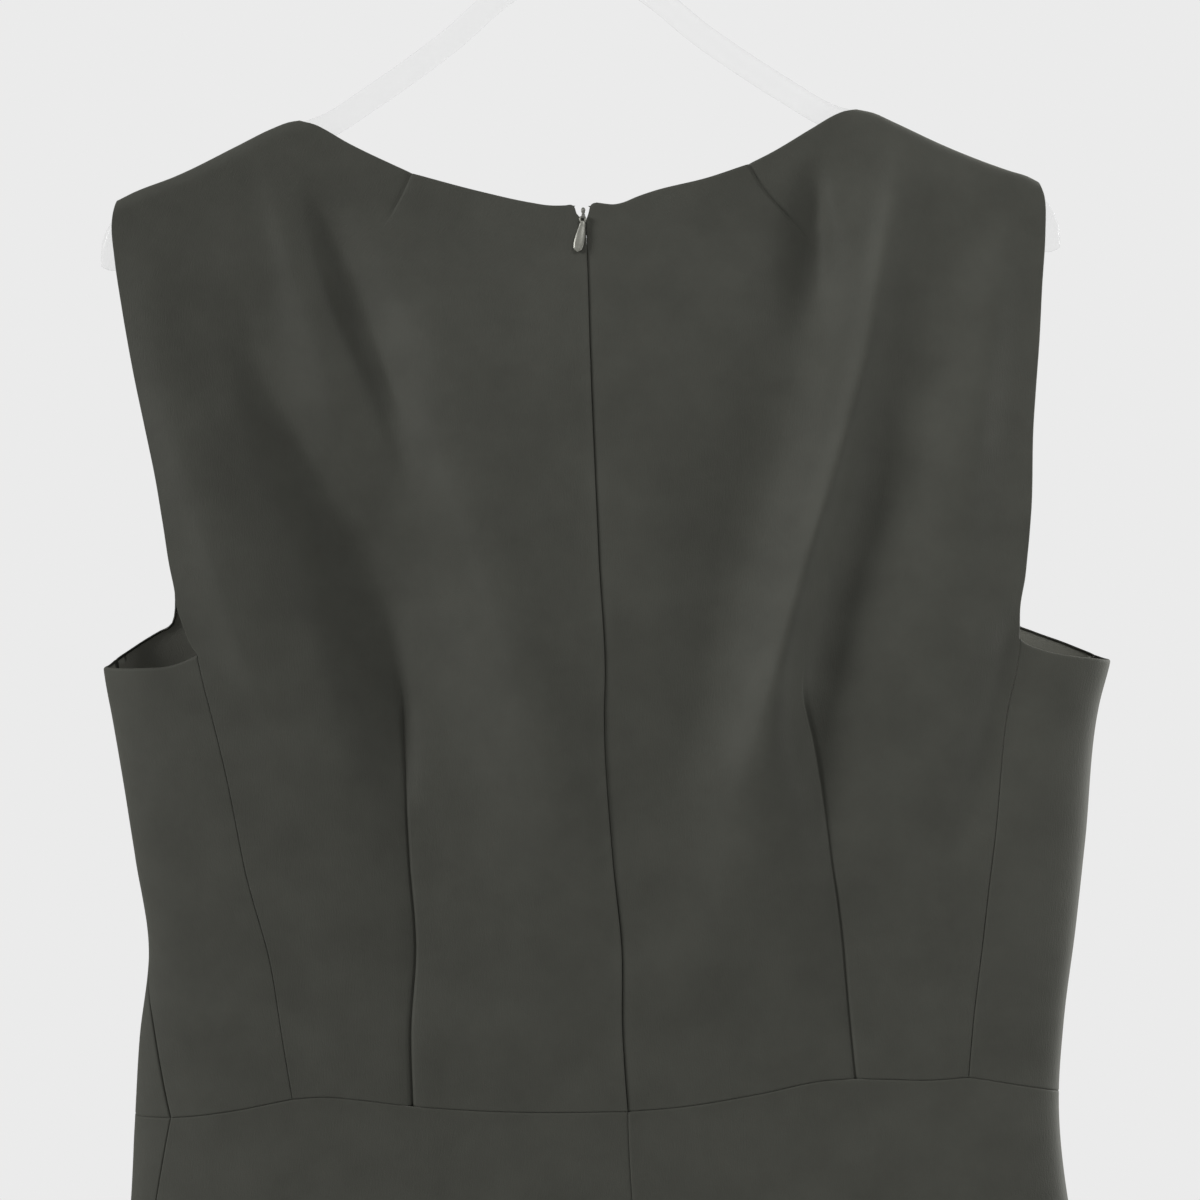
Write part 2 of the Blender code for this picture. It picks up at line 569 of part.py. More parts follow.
def zip_slider(metal):
    """A body behind the cloth, and a bridge that comes out of the neck's notch and loops over the tab's bar."""
    arc = np.radians(np.linspace(90, 270, 11))
    outer = [(BRIDGE_OUTER * math.cos(a), BRIDGE_OUTER * math.sin(a)) for a in arc]
    inner = [(BRIDGE_INNER * math.cos(a), BRIDGE_INNER * math.sin(a)) for a in arc[::-1]]
    reach = PULL_PROUD + CLOTH + SEAM_GAP + BRIDGE_ROOT
    legs = [(reach, outer[-1][1]), (reach, inner[0][1])], [(reach, inner[-1][1]), (reach, outer[0][1])]
    bridge = finished(
        "zip_bridge", extrude_outline(outer + legs[0] + inner + legs[1], BRIDGE_WIDTH, "x"), metal
    )
    bridge.matrix_world = zip_place(PULL_LEAN)
    bridge.hide_render = True
    bridge.display_type = "WIRE"
    body = bmesh.new()
    bmesh.ops.create_cube(body, size=1.0)
    size = Vector((SLIDER_WIDTH, SLIDER_THICKNESS, SLIDER_END - SLIDER_START)) * MM
    behind = PULL_PROUD + CLOTH + 2 * SEAM_GAP + SLIDER_THICKNESS / 2
    below = (SLIDER_START + SLIDER_END) / 2 - PULL_DROP
    bmesh.ops.scale(body, vec=size, verts=body.verts)
    rounding = SLIDER_ROUNDING * MM
    bmesh.ops.bevel(body, geom=body.edges, offset=rounding, segments=2, profile=0.5, affect="EDGES", material=-1)
    bmesh.ops.translate(body, vec=Vector((0, behind, -below)) * MM, verts=body.verts)
    slider = finished("zip_slider", body, metal)
    slider.matrix_world = zip_place()
    join = slider.modifiers.new("bridge", "BOOLEAN")
    join.operation = "UNION"
    join.object = bridge


def tube(name, path, half_across, half_along_y, sides, finish):
    """A bar along a path of (x, drop) points in the plane y = 0, with an oval section and rounded ends."""
    path = np.array(path, float)
    points = np.stack([path[:, 0], np.zeros(len(path)), -(path[:, 1] + HOOK_TO_NECK)], -1)
    along = np.gradient(points, axis=0)
    along /= np.linalg.norm(along, axis=1, keepdims=True)
    side = np.cross(along, (0, 1, 0))
    sizes = np.ones(len(points))
    sizes[[0, -1]] = BAR_END_SIZE
    body = bmesh.new()
    rings = []
    for point, across, size in zip(points, side, sizes):
        ring = []
        for k in range(sides):
            angle = 2 * math.pi * k / sides
            offset = across * half_across * math.cos(angle) + np.array((0, half_along_y * math.sin(angle), 0))
            ring.append(body.verts.new(Vector(point + offset * size) * MM))
        rings.append(ring)
    for ring, following in zip(rings, rings[1:]):
        for k in range(sides):
            body.faces.new((ring[k], ring[(k + 1) % sides], following[(k + 1) % sides], following[k]))
    body.faces.new(rings[0][::-1])
    body.faces.new(rings[-1])
    bmesh.ops.recalc_face_normals(body, faces=body.faces)
    return finished(name, body, finish)


def arm_path():
    """The arms' centre line: under both shoulder seams, with turned-down tips and a rise to the hook."""
    seat = CLOTH + ARM_CLEARANCE + ARM_HALF_HEIGHT
    under = [(x, float(shoulder_drop(np.array((-x, x))).max()) + seat) for x in ARM_SEATS]
    marks = [*ARM_TIP[::-1], *under, *ARM_INSIDE_NECK]
    marks += [(-x, drop) for x, drop in marks[-2::-1]]
    marks = np.array(marks, float)
    length = np.concatenate([[0], np.cumsum(np.linalg.norm(np.diff(marks, axis=0), axis=1))])
    at = np.linspace(0, length[-1], ARM_STEPS)
    return np.stack([hermite(length, marks[:, k], at) for k in (0, 1)], -1)


def hook_path():
    """The hook's centre line: a stem that bends into a round hook whose inside top is the origin."""
    radius = HOOK_INNER + HOOK_WIRE
    centre_drop = HOOK_INNER - HOOK_TO_NECK
    arc = np.radians(np.linspace(HOOK_ARC_START, HOOK_ARC_END, HOOK_ARC_STEPS))
    return list(HOOK_STEM) + [(radius * math.cos(a), centre_drop - radius * math.sin(a)) for a in arc]


def hanger(plastic):
    tube("hanger_arms", arm_path(), ARM_HALF_HEIGHT, ARM_HALF_THICKNESS, ARM_SIDES, plastic)
    tube("hanger_hook", hook_path(), HOOK_WIRE, HOOK_WIRE, HOOK_SIDES, plastic)


def main():
    clear_scene()
    cloth = material("charcoal crepe", (0.055, 0.055, 0.049), 0.85)
    tape = material("zip tape", (0.03, 0.03, 0.028), 0.9)
    metal = material("painted zip metal", (0.3, 0.3, 0.27), 0.4, metallic=0.6)
    plastic = material("clear plastic", (0.85, 0.86, 0.86), 0.12, alpha=0.35)
    back_bodice(cloth)
    side_backs(cloth)
    front_bodice(cloth)
    skirt(cloth)
    zip_tape(tape)
    zip_slider(metal)
    zip_pull(metal)
    hanger(plastic)


main()
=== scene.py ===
"""Looks of the sheath dress on its clear hanger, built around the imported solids.

The photographed back faces -Y and +X is its right. Sizes in the tables are millimetres. "drop" is the distance below
the neck points, and "turn" is the place round the body in degrees: 0 at the back, 90 at the right side, 180 at the
front, 270 or -90 at the left side.
"""

import math
from collections import namedtuple

import bmesh
import bpy
import numpy as np
from mathutils import Matrix, Vector


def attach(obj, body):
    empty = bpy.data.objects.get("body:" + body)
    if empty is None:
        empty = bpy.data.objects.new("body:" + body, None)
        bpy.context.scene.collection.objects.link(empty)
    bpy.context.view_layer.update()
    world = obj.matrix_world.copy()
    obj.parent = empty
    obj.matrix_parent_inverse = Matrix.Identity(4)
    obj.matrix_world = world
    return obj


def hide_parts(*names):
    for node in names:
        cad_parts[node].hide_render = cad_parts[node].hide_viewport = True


MM = 0.001
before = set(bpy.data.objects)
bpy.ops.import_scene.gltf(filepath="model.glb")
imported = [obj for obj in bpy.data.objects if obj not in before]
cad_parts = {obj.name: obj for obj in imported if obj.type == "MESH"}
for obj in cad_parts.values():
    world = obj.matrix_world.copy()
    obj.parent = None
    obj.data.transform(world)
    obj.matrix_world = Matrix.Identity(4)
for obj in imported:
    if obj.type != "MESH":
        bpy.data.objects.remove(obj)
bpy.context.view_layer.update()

X_AXIS, Y_AXIS, Z_AXIS = (1.0, 0.0, 0.0), (0.0, 1.0, 0.0), (0.0, 0.0, 1.0)

# Driving sizes of the dress
HOOK_TO_NECK = 143.0
CLOTH = 1.0
SEAM_GAP = 0.2
HEM_DROP = 980.0
NECK_POINT = 125.0
SHOULDER_SLOPE = math.tan(math.radians(23.0))
SHOULDER_RADIUS = 6.5
SHOULDER_SPREAD = 150.0
SIDE_BLUNTNESS = 0.6
ARC_PER_TURN = 3.8
NORMAL_STEP = 1.5
FOLDS_BELOW_SHOULDER = 20.0

# How far the body of the dress reaches to its left, right, back and front at each drop
RING_COLUMNS = ("drop", "left", "right", "back", "front")
RINGS = (
    (-60, -232, 232, 11, 11), (45, -231, 232, 15, 15), (120, -227, 232, 25, 28), (200, -220, 233, 34, 41),
    (250, -217, 234, 38, 47), (268, -214, 229, 38, 47), (331, -205, 221, 36, 43), (370, -200, 216, 33, 38),
    (411, -205, 210, 31, 34), (450, -208, 207, 31, 33), (490, -211, 210, 34, 36), (560, -225, 226, 41, 41),
    (640, -241, 241, 47, 45), (740, -244, 244, 46, 46), (860, -237, 237, 43, 43), (HEM_DROP, -229, 229, 40, 41),
)

# Edges and seams, as (x, drop) on the back or the front
SHOULDER_LEFT = ((-208, 34.6), (-200, 30.8), (-180, 23.5), (-154, 11.3), (-138, 3.7), (-130, 0.8), (-NECK_POINT, 0))
SHOULDER_RIGHT = ((NECK_POINT, 0), (133, 1.9), (142, 6.2), (167, 18.4), (193, 28.9), (201.4, 31.7), (206.8, 34.6))
PAST_SHOULDER_LEFT = (-240, 49)
PAST_SHOULDER_RIGHT = (240, 50)
NECK_BACK_LEFT = ((-NECK_POINT, 0), (-119, 2.2), (-102, 12), (-74.8, 25.6))
NECK_MIDDLE_LEFT = ((-74.8, 25.6), (-44, 34.7), (-22, 40.2), (-13.7, 41.7), (-6, 41.9), (-3.7, 41.8), (-2.8, 42.3))
NECK_MIDDLE_RIGHT = (
    (4.8, 42.4), (5.5, 41.5), (7.2, 40.9), (10.3, 41.3), (15.8, 41.8), (19.2, 41.1), (26, 38.4), (32, 36.4),
    (58, 30.2), (76, 24.4),
)
NECK_BACK_RIGHT = ((76, 24.4), (85, 20.2), (104, 9.4), (115.6, 2.9), (121, 0.7), (NECK_POINT, 0))
NECK_FRONT = ((NECK_POINT, 0), (104, 30), (68, 63), (0, 82), (-68, 63), (-104, 30), (-NECK_POINT, 0))
ARMHOLE_BACK_LEFT = (
    (-208, 34.6), (-209.8, 46), (-208.6, 61), (-205.4, 83), (-200.4, 111), (-194.9, 137), (-190, 161), (-187.2, 180),
    (-184.5, 200), (-182.4, 211), (-181.6, 218), (-179.1, 225.5), (-176.2, 233.4), (-172.5, 239.1),
)
ARMHOLE_BACK_RIGHT = (
    (206.8, 34.6), (208.5, 42), (208.4, 58), (206.4, 82), (204.4, 106), (202, 127), (200, 145), (197.4, 184),
    (194.2, 210), (191.4, 226), (191, 239.1),
)
ARMHOLE_FRONT_LEFT = (
    (-208, 34.6), (-200, 80), (-193, 130), (-189.9, 180), (-189.8, 205), (-190.1, 220), (-190.9, 224),
    (-192.6, 226.2), (-196.8, 228.4), (-202.3, 231.6), (-210.6, 237.1), (-214.5, 239.9),
)
ARMHOLE_FRONT_RIGHT = (
    (206.8, 34.6), (200, 80), (193, 130), (190, 185), (189.5, 212), (191.5, 226), (195.2, 231.8), (199.1, 234.4),
    (203.3, 236.1), (207.7, 237.9), (216.5, 241.3), (224.7, 244.9), (230.3, 247.6),
)
ZIP_NOTCH_LEFT = ((-2.8, 42.3), (-2.2, 43.2), (-1.0, 46.6), (0.5, 48.0), (1.9, 48.8))
ZIP_NOTCH_RIGHT = ((4.8, 42.4), (4.5, 43.3), (3.8, 46.1), (3.1, 48.0), (2.5, 48.8))
CENTRE_SHARED = ((3.0, 66), (3.5, 110), (7.2, 250), (10.4, 350), (13.4, 443.8))
CENTRE_LEFT = ((1.9, 48.8), (2.6, 54), *CENTRE_SHARED)
CENTRE_RIGHT = ((2.5, 48.8), (2.7, 54), *CENTRE_SHARED)
CENTRE_SKIRT = ((13.4, 443.8), (14.5, 485), (16, 640), (15, HEM_DROP))
SIDE_BACK_LEFT = ((-172.5, 239.1), (-162, 286), (-148, 356), (-138, 413), (-134.5, 436.2))
SIDE_BACK_RIGHT = ((191, 239.1), (182, 292), (173, 363), (166.5, 413), (164.5, 433))
WAIST_LEFT = ((-134.5, 436.2), (-121, 435.4), (-105, 436.8), (-81.6, 440))
WAIST_MIDDLE_LEFT = ((-81.6, 440), (-43, 442.8), (-24, 443.5), (13.4, 443.8))
WAIST_MIDDLE_RIGHT = ((13.4, 443.8), (36, 442.4), (70.7, 437.6), (100.9, 432.3), (114, 432))
WAIST_RIGHT = ((114, 432), (126.5, 432.5), (145, 433.6), (164.5, 433))

# The line through each half's neck dart and waist dart
DARTS_LEFT = (
    (-74.8, 25.6), (-81, 38), (-87, 48), (-93.7, 56), (-99, 64), (-102, 90), (-100, 130), (-93, 190), (-85, 240),
    (-84, 256), (-82.5, 287), (-81.4, 322), (-80.7, 392), (-81.6, 440),
)
DARTS_RIGHT = (
    (76, 24.4), (81.6, 34.4), (89.4, 44), (96, 51), (103, 59), (108, 85), (107, 130), (101, 190), (95, 240),
    (94.7, 255), (98.5, 282), (106, 343), (109.7, 378), (112, 409), (114, 432),
)

# Edges and seams that go round the sides, as (turn, drop)
UNDERARM_LEFT = (
    (-98, 241.1), (-93.4, 243), (-89, 243.9), (-81, 244.2), (-74.8, 244.5), (-70.6, 244.7), (-64.9, 244.5),
    (-59.8, 244.1), (-58, 243.3), (-56.2, 242.2), (-54.4, 240.5),
)
UNDERARM_RIGHT = (
    (54.4, 240.8), (56.2, 243), (58.7, 244.7), (60.8, 245.9), (63.7, 246.8), (67.9, 247.9), (73.5, 248.8),
    (80.7, 249.6), (90, 249.6), (96, 248.9), (100, 248),
)
SIDE_SEAM_LEFT = ((-98, 241.1), (-94, 320), (-88, 372), (-74, 408), (-66, 444.6))
SIDE_SEAM_RIGHT = ((100, 248), (102, 340), (105, 443))
SIDE_SEAM_SKIRT_LEFT = ((-66, 444.6), (-70, 485), (-80, 700), (-86, HEM_DROP))
SIDE_SEAM_SKIRT_RIGHT = ((105, 443), (104, 560), (98, 700), (94, HEM_DROP))
WAIST_SIDE_LEFT = ((-66, 444.6), (-59, 443.6), (-50, 440.9))
WAIST_SIDE_RIGHT = ((64, 437.4), (84, 442), (105, 443))
WAIST_FRONT = ((140, 441), (180, 441), (220, 440), (255, 442.5), (275, 444.4))

# Soft folds: each is a line down the cloth through knots of (x, drop, rise, left, right). rise is how far it stands
# out, or sinks in where it is below 0, and left and right are how far it spreads to each side.
BACK_FOLDS = {
    "trough from the left armhole to the left waist dart": (
        (-152, 66, 0, 14, 46), (-140, 118, -10, 16, 50), (-127, 145, -15, 18, 50), (-108, 180, -18.5, 22, 46),
        (-90, 216, -20, 26, 42), (-82, 247, -17.5, 23, 44), (-77, 290, -12, 22, 48), (-69, 345, -6, 24, 48),
        (-60, 410, 0, 28, 40),
    ),
    "crease down from the left neck dart": (
        (-121, 24, 0, 4, 8), (-114, 55, -4, 4, 14), (-104, 90, -5, 4, 20), (-89, 125, -4, 5, 26),
        (-75, 170, 0, 5, 30),
    ),
    "ridge left of that crease": (
        (-140, 20, 0, 4, 6), (-130, 60, 2.5, 7, 11), (-118, 105, 5, 12, 16), (-108, 150, 5, 15, 21),
        (-97, 190, 0, 17, 23),
    ),
    "broad ridge left of the zip": (
        (-82, 84, 0, 12, 26), (-70, 120, 4.5, 14, 27), (-53, 180, 7.5, 15, 26), (-32, 250, 8, 17, 25),
        (-18, 290, 6.5, 19, 22), (-4, 330, 3, 20, 20), (10, 370, 0, 22, 18),
    ),
    "ridge by the left armhole": (
        (-203, 40, 0, 34, 15), (-195, 90, 7.5, 28, 17), (-182, 140, 11.5, 21, 20), (-160, 210, 10, 13, 27),
        (-139, 270, 0, 7, 33),
    ),
    "strong ridge from the right shoulder": (
        (147, 8, 0, 22, 70), (140, 45, 7.5, 20, 50), (133, 85, 8, 21, 38), (120, 140, 8, 22, 28),
        (102, 200, 8.5, 22, 24), (86, 260, 9.5, 23, 28), (75, 310, 8.5, 24, 40), (64, 360, 6, 25, 50),
        (54, 410, 0, 24, 60),
    ),
    "trough right of that ridge": (
        (145, 55, 0, 12, 34), (138, 100, -4, 11, 30), (129, 136, -9, 11, 26), (121, 172, -12, 11, 24),
        (110, 205, -13, 11, 22), (100, 247, -13, 11, 20), (97, 268, -11, 10, 18), (99, 300, -7, 9, 16),
        (105, 345, 0, 9, 15),
    ),
    "hollow beside the right neck dart": (
        (106, 22, 0, 6, 4), (106, 48, -8, 11, 5), (104, 75, -10, 13, 11), (101, 120, 0, 14, 18),
    ),
    "soft ridge by the right armhole": (
        (196, 40, 0, 9, 20), (188, 70, 4.5, 12, 15), (176, 130, 7, 17, 12), (164, 200, 3.5, 18, 15),
        (159, 270, 0, 20, 19),
    ),
    "dip above the right side panel": (
        (205, 215, 0, 30, 13), (192, 250, -3.5, 26, 20), (178, 300, -3, 18, 24), (160, 340, 0, 12, 26),
    ),
    "hollow right of the zip": (
        (100, 95, 0, 38, 23), (79, 160, -8, 32, 24), (61, 230, -5.5, 22, 23), (41, 310, 0, 13, 23),
    ),
    "sharp edge of the left trough": (
        (-152, 92, 0, 9, 16), (-139, 136, -3, 9, 16), (-126, 169, -4, 9, 18), (-111, 213, -4.5, 9, 20),
        (-99, 258, -3, 9, 16), (-92, 300, 0, 9, 14),
    ),
    "hollow at the left waist dart's point": (
        (-94, 212, 0, 12, 7), (-89, 242, -4.5, 13, 6), (-85, 278, -4, 13, 6), (-83, 312, 0, 12, 6),
    ),
    "sharp line in the left neck crease": (
        (-117, 33, 0, 13, 4), (-105, 63, -3, 11, 12), (-95, 93, -3.5, 8, 19), (-85, 123, -3, 4, 26),
        (-77, 145, 0, 4, 32),
    ),
    "crest of the strong ridge": (
        (146, 16, 0, 5, 12), (139, 46, 4, 5, 12), (131.5, 82, 5, 5.5, 12), (123, 123, 5.5, 5.5, 12),
        (112, 158, 5.5, 5.5, 12), (98, 199, 5.5, 5.5, 12), (84, 244, 5, 6, 12), (75, 275, 3, 8, 12),
        (64, 320, 0, 10, 12),
    ),
    "crease left of the right side panel": (
        (194, 215, 0, 7, 12), (187, 240, -3.5, 7, 12), (179, 268, -4, 7, 14), (173, 290, -3, 7, 14),
        (166, 330, 0, 8, 12),
    ),
    "left skirt trough": (
        (-125, 446, 0, 18, 18), (-127, 560, -3.2, 20, 20), (-124, 720, -3.5, 20, 20), (-119, 870, -2.5, 22, 20),
        (-118, 985, -1, 24, 20),
    ),
    "right skirt trough": (
        (114, 440, 0, 18, 16), (124, 560, -3, 20, 17), (128, 700, -3.5, 20, 18), (131, 860, -2.5, 22, 20),
        (132, 985, -1, 24, 22),
    ),
    "left skirt ridge": (
        (-66, 540, 0, 20, 22), (-62, 700, 3, 22, 24), (-66, 880, 4, 22, 24), (-68, 985, 3, 22, 24),
    ),
    "right skirt ridge": ((70, 570, 0, 20, 22), (79, 760, 3.5, 20, 22), (84, 900, 4, 22, 22), (87, 985, 3, 22, 22)),
}
FRONT_FOLDS = {
    "left bust": ((-92, 160, 0, 44, 46), (-91, 215, 9, 48, 50), (-89, 258, 12, 50, 52), (-88, 345, 0, 48, 50)),
    "right bust": ((103, 160, 0, 46, 44), (102, 215, 9, 50, 48), (100, 258, 12, 52, 50), (98, 345, 0, 50, 48)),
    "fold from the left neck point": (
        (-124, 18, 0, 12, 14), (-121, 70, 3.5, 13, 15), (-112, 140, 4, 15, 16), (-96, 215, 0, 18, 18),
    ),
    "fold from the right neck point": (
        (127, 20, 0, 12, 13), (126, 80, 4.5, 14, 14), (118, 150, 5, 16, 16), (106, 225, 0, 18, 18),
    ),
    "hollow down the middle": ((2, 86, 0, 22, 24), (6, 160, -4, 26, 26), (9, 250, -5, 28, 26), (8, 372, 0, 30, 28)),
    "crease from the left armhole": (
        (-163, 50, 0, 11, 12), (-156, 110, -4, 12, 13), (-145, 185, -3, 13, 14), (-134, 240, 0, 14, 15),
    ),
    "crease from the right armhole": (
        (168, 56, 0, 11, 12), (163, 120, -5, 12, 13), (154, 200, -3.5, 13, 14), (146, 250, 0, 14, 15),
    ),
    "left skirt trough": (
        (-117, 448, 0, 18, 20), (-112, 600, -3.6, 20, 22), (-116, 800, -3.6, 20, 22), (-121, 985, -1, 22, 24),
    ),
    "right skirt trough": (
        (112, 448, 0, 18, 20), (121, 590, -3.2, 20, 22), (120, 780, -3.4, 20, 22), (115, 985, -1, 22, 24),
    ),
    "left skirt ridge": (
        (-40, 570, 0, 24, 24), (-37, 720, 3.4, 24, 24), (-40, 880, 4, 26, 24), (-45, 985, 3, 26, 26),
    ),
    "right skirt ridge": (
        (58, 545, 0, 22, 24), (52, 700, 2.6, 22, 24), (51, 870, 3, 24, 24), (57, 985, 2.4, 24, 26),
    ),
}

# The radius of the roll at each edge of the cloth, and how far the two lips over the zip stand proud and lie back
ROLL = 1.15
SEAM_ROLL = 0.7
FAINT_ROLL = 0.4
Rolls = namedtuple("Rolls", "top bottom left right", defaults=(ROLL, SEAM_ROLL, SEAM_ROLL, SEAM_ROLL))
SKIRT_ROLLS = Rolls(top=SEAM_ROLL, bottom=ROLL)
ZIP_LIP = 0.35
ZIP_LIP_REACH = 2.6

# Darts: where each ends, how deep its crease is, the lengths and widths over which it fades, and how the cloth laps
Dart = namedtuple("Dart", "tip depth")
NECK_DART_FADE = 14.0
WAIST_DART_FADE = 22.0
DART_CREASE = 0.8
DART_DIMPLE = 4.0
DIMPLE_SHARE = 0.5
DART_LAP = 7.0

# Lines of the cloth's grid: those close to an edge, in millimetres from it, and how far apart the others are
EDGE_LINES = (0.0, 0.12, 0.4, 0.8, 1.3, 2.1, 3.5)
SHOULDER_LINES = (0.0, 0.12, 0.4, 0.8, 1.3, 2.0, 2.9, 4.2, 5.9, 8.0, 10.5)
Spacing = namedtuple("Spacing", "down across")
BACK_SPACING = Spacing(down=2.6, across=2.2)
SIDE_SPACING = Spacing(down=2.8, across=2.4)
FRONT_SPACING = Spacing(down=3.6, across=3.4)
SKIRT_BACK_SPACING = Spacing(down=4.2, across=3.2)
SKIRT_FRONT_SPACING = Spacing(down=4.2, across=4.0)
LEAST_WIDTH = 8.0

# How many lines beside an edge the roll is worked out on, how far in, and the line that an edge is pulled towards
ROLL_LINES = 14
BOTTOM_ROLL_LINES = 10
ROLL_REACH = ROLL + 4.0
PULL_LINE = 3

# Zip: sizes along it are measured down from the pull tab's hinge
PULL_DROP = 47.6
PULL_X = 1.6
PULL_LEAN = 12.0
PULL_PROUD = 1.5
PULL_LENGTH = 15.5
TAB_SHIFT = 0.35
EYE_ACROSS = 1.25
EYE_DOWN = 1.35
EYE_WIRE = 0.42
BRIDGE_REACH = 0.72
BRIDGE_WIRE = 0.27
BRIDGE_HALF_WIDTH = 0.85
BRIDGE_ARC = (70.0, 290.0)
BRIDGE_POINTS = 23
EYE_POINTS = 41
BRIDGE_FEET = ((0.0, 2.6, 0.9), (0.0, 2.8, -1.1))
Mark = namedtuple("Mark", "down half_width half_thickness behind", defaults=(0,))
TAB_MARKS = (
    Mark(2.1, 0.35, 0.3), Mark(2.7, 0.95, 0.45), Mark(5.0, 1.45, 0.55), Mark(8.0, 1.95, 0.75),
    Mark(11.2, 2.25, 0.8), Mark(14.0, 2.1, 0.68), Mark(15.8, 1.3, 0.45), Mark(PULL_LENGTH + 1.0, 0.05, 0.05),
)
SLIDER_MARKS = (
    Mark(-4.7, 0.3, 0.15, 1.9), Mark(-4.4, 0.6, 0.4, 1.9), Mark(-1.5, 0.66, 0.55, 2.0), Mark(1.0, 1.0, 0.8, 2.6),
    Mark(3.2, 1.7, 1.1, 4.0), Mark(4.4, 2.8, 1.3, 4.4), Mark(6.8, 2.8, 1.3, 4.4), Mark(7.4, 2.4, 0.3, 4.4),
)
TAPE_HALF_WIDTH = 12.0
TAPE_START = 57.0
TAPE_END = 620.0
TAPE_LINES = (0.02, 2.0, 4.0, 6.5, 9.0, TAPE_HALF_WIDTH)
TAPE_ROWS = 160
TAPE_INSIDE = CLOTH + 0.6
TAPE = 0.5
TOOTH_PITCH = 1.6
TOOTH_WIRE = 0.28
COIL_OFFSET = 0.8
COIL_ACROSS = 1.1
COIL_DEEP = 0.5
COIL_MARGIN = 3.0
LOOP_POINTS = 10

# Hanger, in clear plastic
ARM_HALF_HEIGHT = 5.5
ARM_HALF_THICKNESS = 2.6
ARM_CLEARANCE = 0.8
ARM_SEATS = (190.0, 170.0, 150.0, 130.0)
ARM_TIP = ((204, 44.5), (209, 52), (210.5, 66))
ARM_INSIDE_NECK = ((112, 2.4), (95, -8), (60, -32), (24, -60), (0, -69))
HOOK_WIRE = 3.5
HOOK_INNER = 19.0
HOOK_STEM = ((0, -74.9), (0, -88), (3.5, -97), (12, -105.5))
HOOK_ARC = (-38.0, 205.0)
HOOK_ARC_POINTS = 16
BAR_STEP = 4.0

# How many sides round pieces have, how many rings a pebble has, its least half width, and how near points are welded
ARM_SIDES = 32
HOOK_SIDES = 24
PEBBLE_SIDES = 36
PEBBLE_RINGS = 40
PEBBLE_LEAST = 0.02
WELD = 0.001
WIRE_SIDES = 12
COIL_SIDES = 6

# The close points at both ends of a bar's path: how far they reach, and how many there are
CLOSE_ENDS = 3.0
CLOSE_POINTS = 7

# The photograph's camera: lens and sensor in mm, its place in metres and its roll in degrees
LENS = 90.0
SENSOR = 36.0
CAMERA_PLACE = (0.0056, -1.35, -0.3615)
CAMERA_ROLL = -1.15

# Cloth: threads in a metre, the dark and pale colours that its colour runs between (the cloth's own on its face,
# painted light on its inner face), its roughness and its sheen
Weave = namedtuple("Weave", "threads dark pale roughness sheen")
CREPE = Weave(1500, dark=(0.046, 0.047, 0.0386), pale=(0.057, 0.0582, 0.0483), roughness=0.72, sheen=0.12)
# The crepe's inner-face colours are painted light: far paler than the face, they stand in for light reaching the
# inside through the armholes.
CREPE_REVERSE_PAINTED_LIGHT = Weave(1500, dark=(0.27, 0.27, 0.237), pale=(0.33, 0.33, 0.29), roughness=0.65, sheen=0.12)
TAPE_WEAVE = Weave(2600, dark=(0.026, 0.026, 0.024), pale=(0.034, 0.034, 0.031), roughness=0.8, sheen=0.05)
THREAD_HEIGHT = 0.0002

# Floor, in metres
FLOOR_RADIUS = 3.0
FLOOR_SIDES = 96
FLOOR_LEVEL = -1.42


def linked(name, data):
    """A new object in the scene."""
    made = bpy.data.objects.new(name, data)
    bpy.context.scene.collection.objects.link(made)
    return made


def built(name, body, smooth=True):
    """A new object in the scene from a bmesh."""
    mesh = bpy.data.meshes.new(name)
    body.to_mesh(mesh)
    body.free()
    if smooth:
        mesh.shade_smooth()
    return linked(name, mesh)


def camera():
    """The photograph's view: level with the upper back, and turned a little."""
    data = bpy.data.cameras.new("camera")
    data.lens, data.sensor_width = LENS, SENSOR
    made = linked("camera", data)
    turned = Matrix.Rotation(math.radians(90), 4, "X") @ Matrix.Rotation(math.radians(CAMERA_ROLL), 4, "Z")
    made.matrix_world = Matrix.Translation(CAMERA_PLACE) @ turned
    bpy.context.scene.camera = made


def unit(vectors):
    return vectors / np.linalg.norm(vectors, axis=-1, keepdims=True)


def lengths_along(points):
    """Each point's distance from the first, along the line through them all."""
    return np.concatenate([[0], np.cumsum(np.linalg.norm(np.diff(points, axis=0), axis=1))])


def hermite(knots, values, at):
    """A smooth curve through (knots, values), read at each of the places in at."""
    knots, values = np.asarray(knots, float), np.asarray(values, float)
    at = np.clip(at, knots[0], knots[-1])
    slopes = np.gradient(values, knots) if len(knots) > 2 else np.full(2, np.diff(values)[0] / np.diff(knots)[0])
    i = np.clip(np.searchsorted(knots, at, side="right") - 1, 0, len(knots) - 2)
    span = knots[i + 1] - knots[i]
    t = (at - knots[i]) / span
    return (
        values[i] * (2 * t**3 - 3 * t**2 + 1)
        + values[i + 1] * (3 * t**2 - 2 * t**3)
        + slopes[i] * span * (t**3 - 2 * t**2 + t)
        + slopes[i + 1] * span * (t**3 - t**2)
    )


def ring_size(column, drop):
    """How far the body reaches at a drop: to its left or right, or out at its back or front."""
    sizes = dict(zip(RING_COLUMNS, zip(*RINGS)))
    return hermite(sizes["drop"], sizes[column], drop)


def ease(t):
    """A smooth step from 0 to 1."""
    t = np.clip(t, 0, 1)
    return t * t * (3 - 2 * t)


def shoulder_drop(x):
    """The shoulder line's drop at x. Between the neck points it goes on up at the same slope."""
    left = [PAST_SHOULDER_LEFT, *SHOULDER_LEFT]
    right = [*SHOULDER_RIGHT, PAST_SHOULDER_RIGHT]
    outside = np.where(x < 0, hermite(*zip(*left), x), hermite(*zip(*right), x))
    return np.where(np.abs(x) < NECK_POINT, (np.abs(x) - NECK_POINT) * SHOULDER_SLOPE, outside)


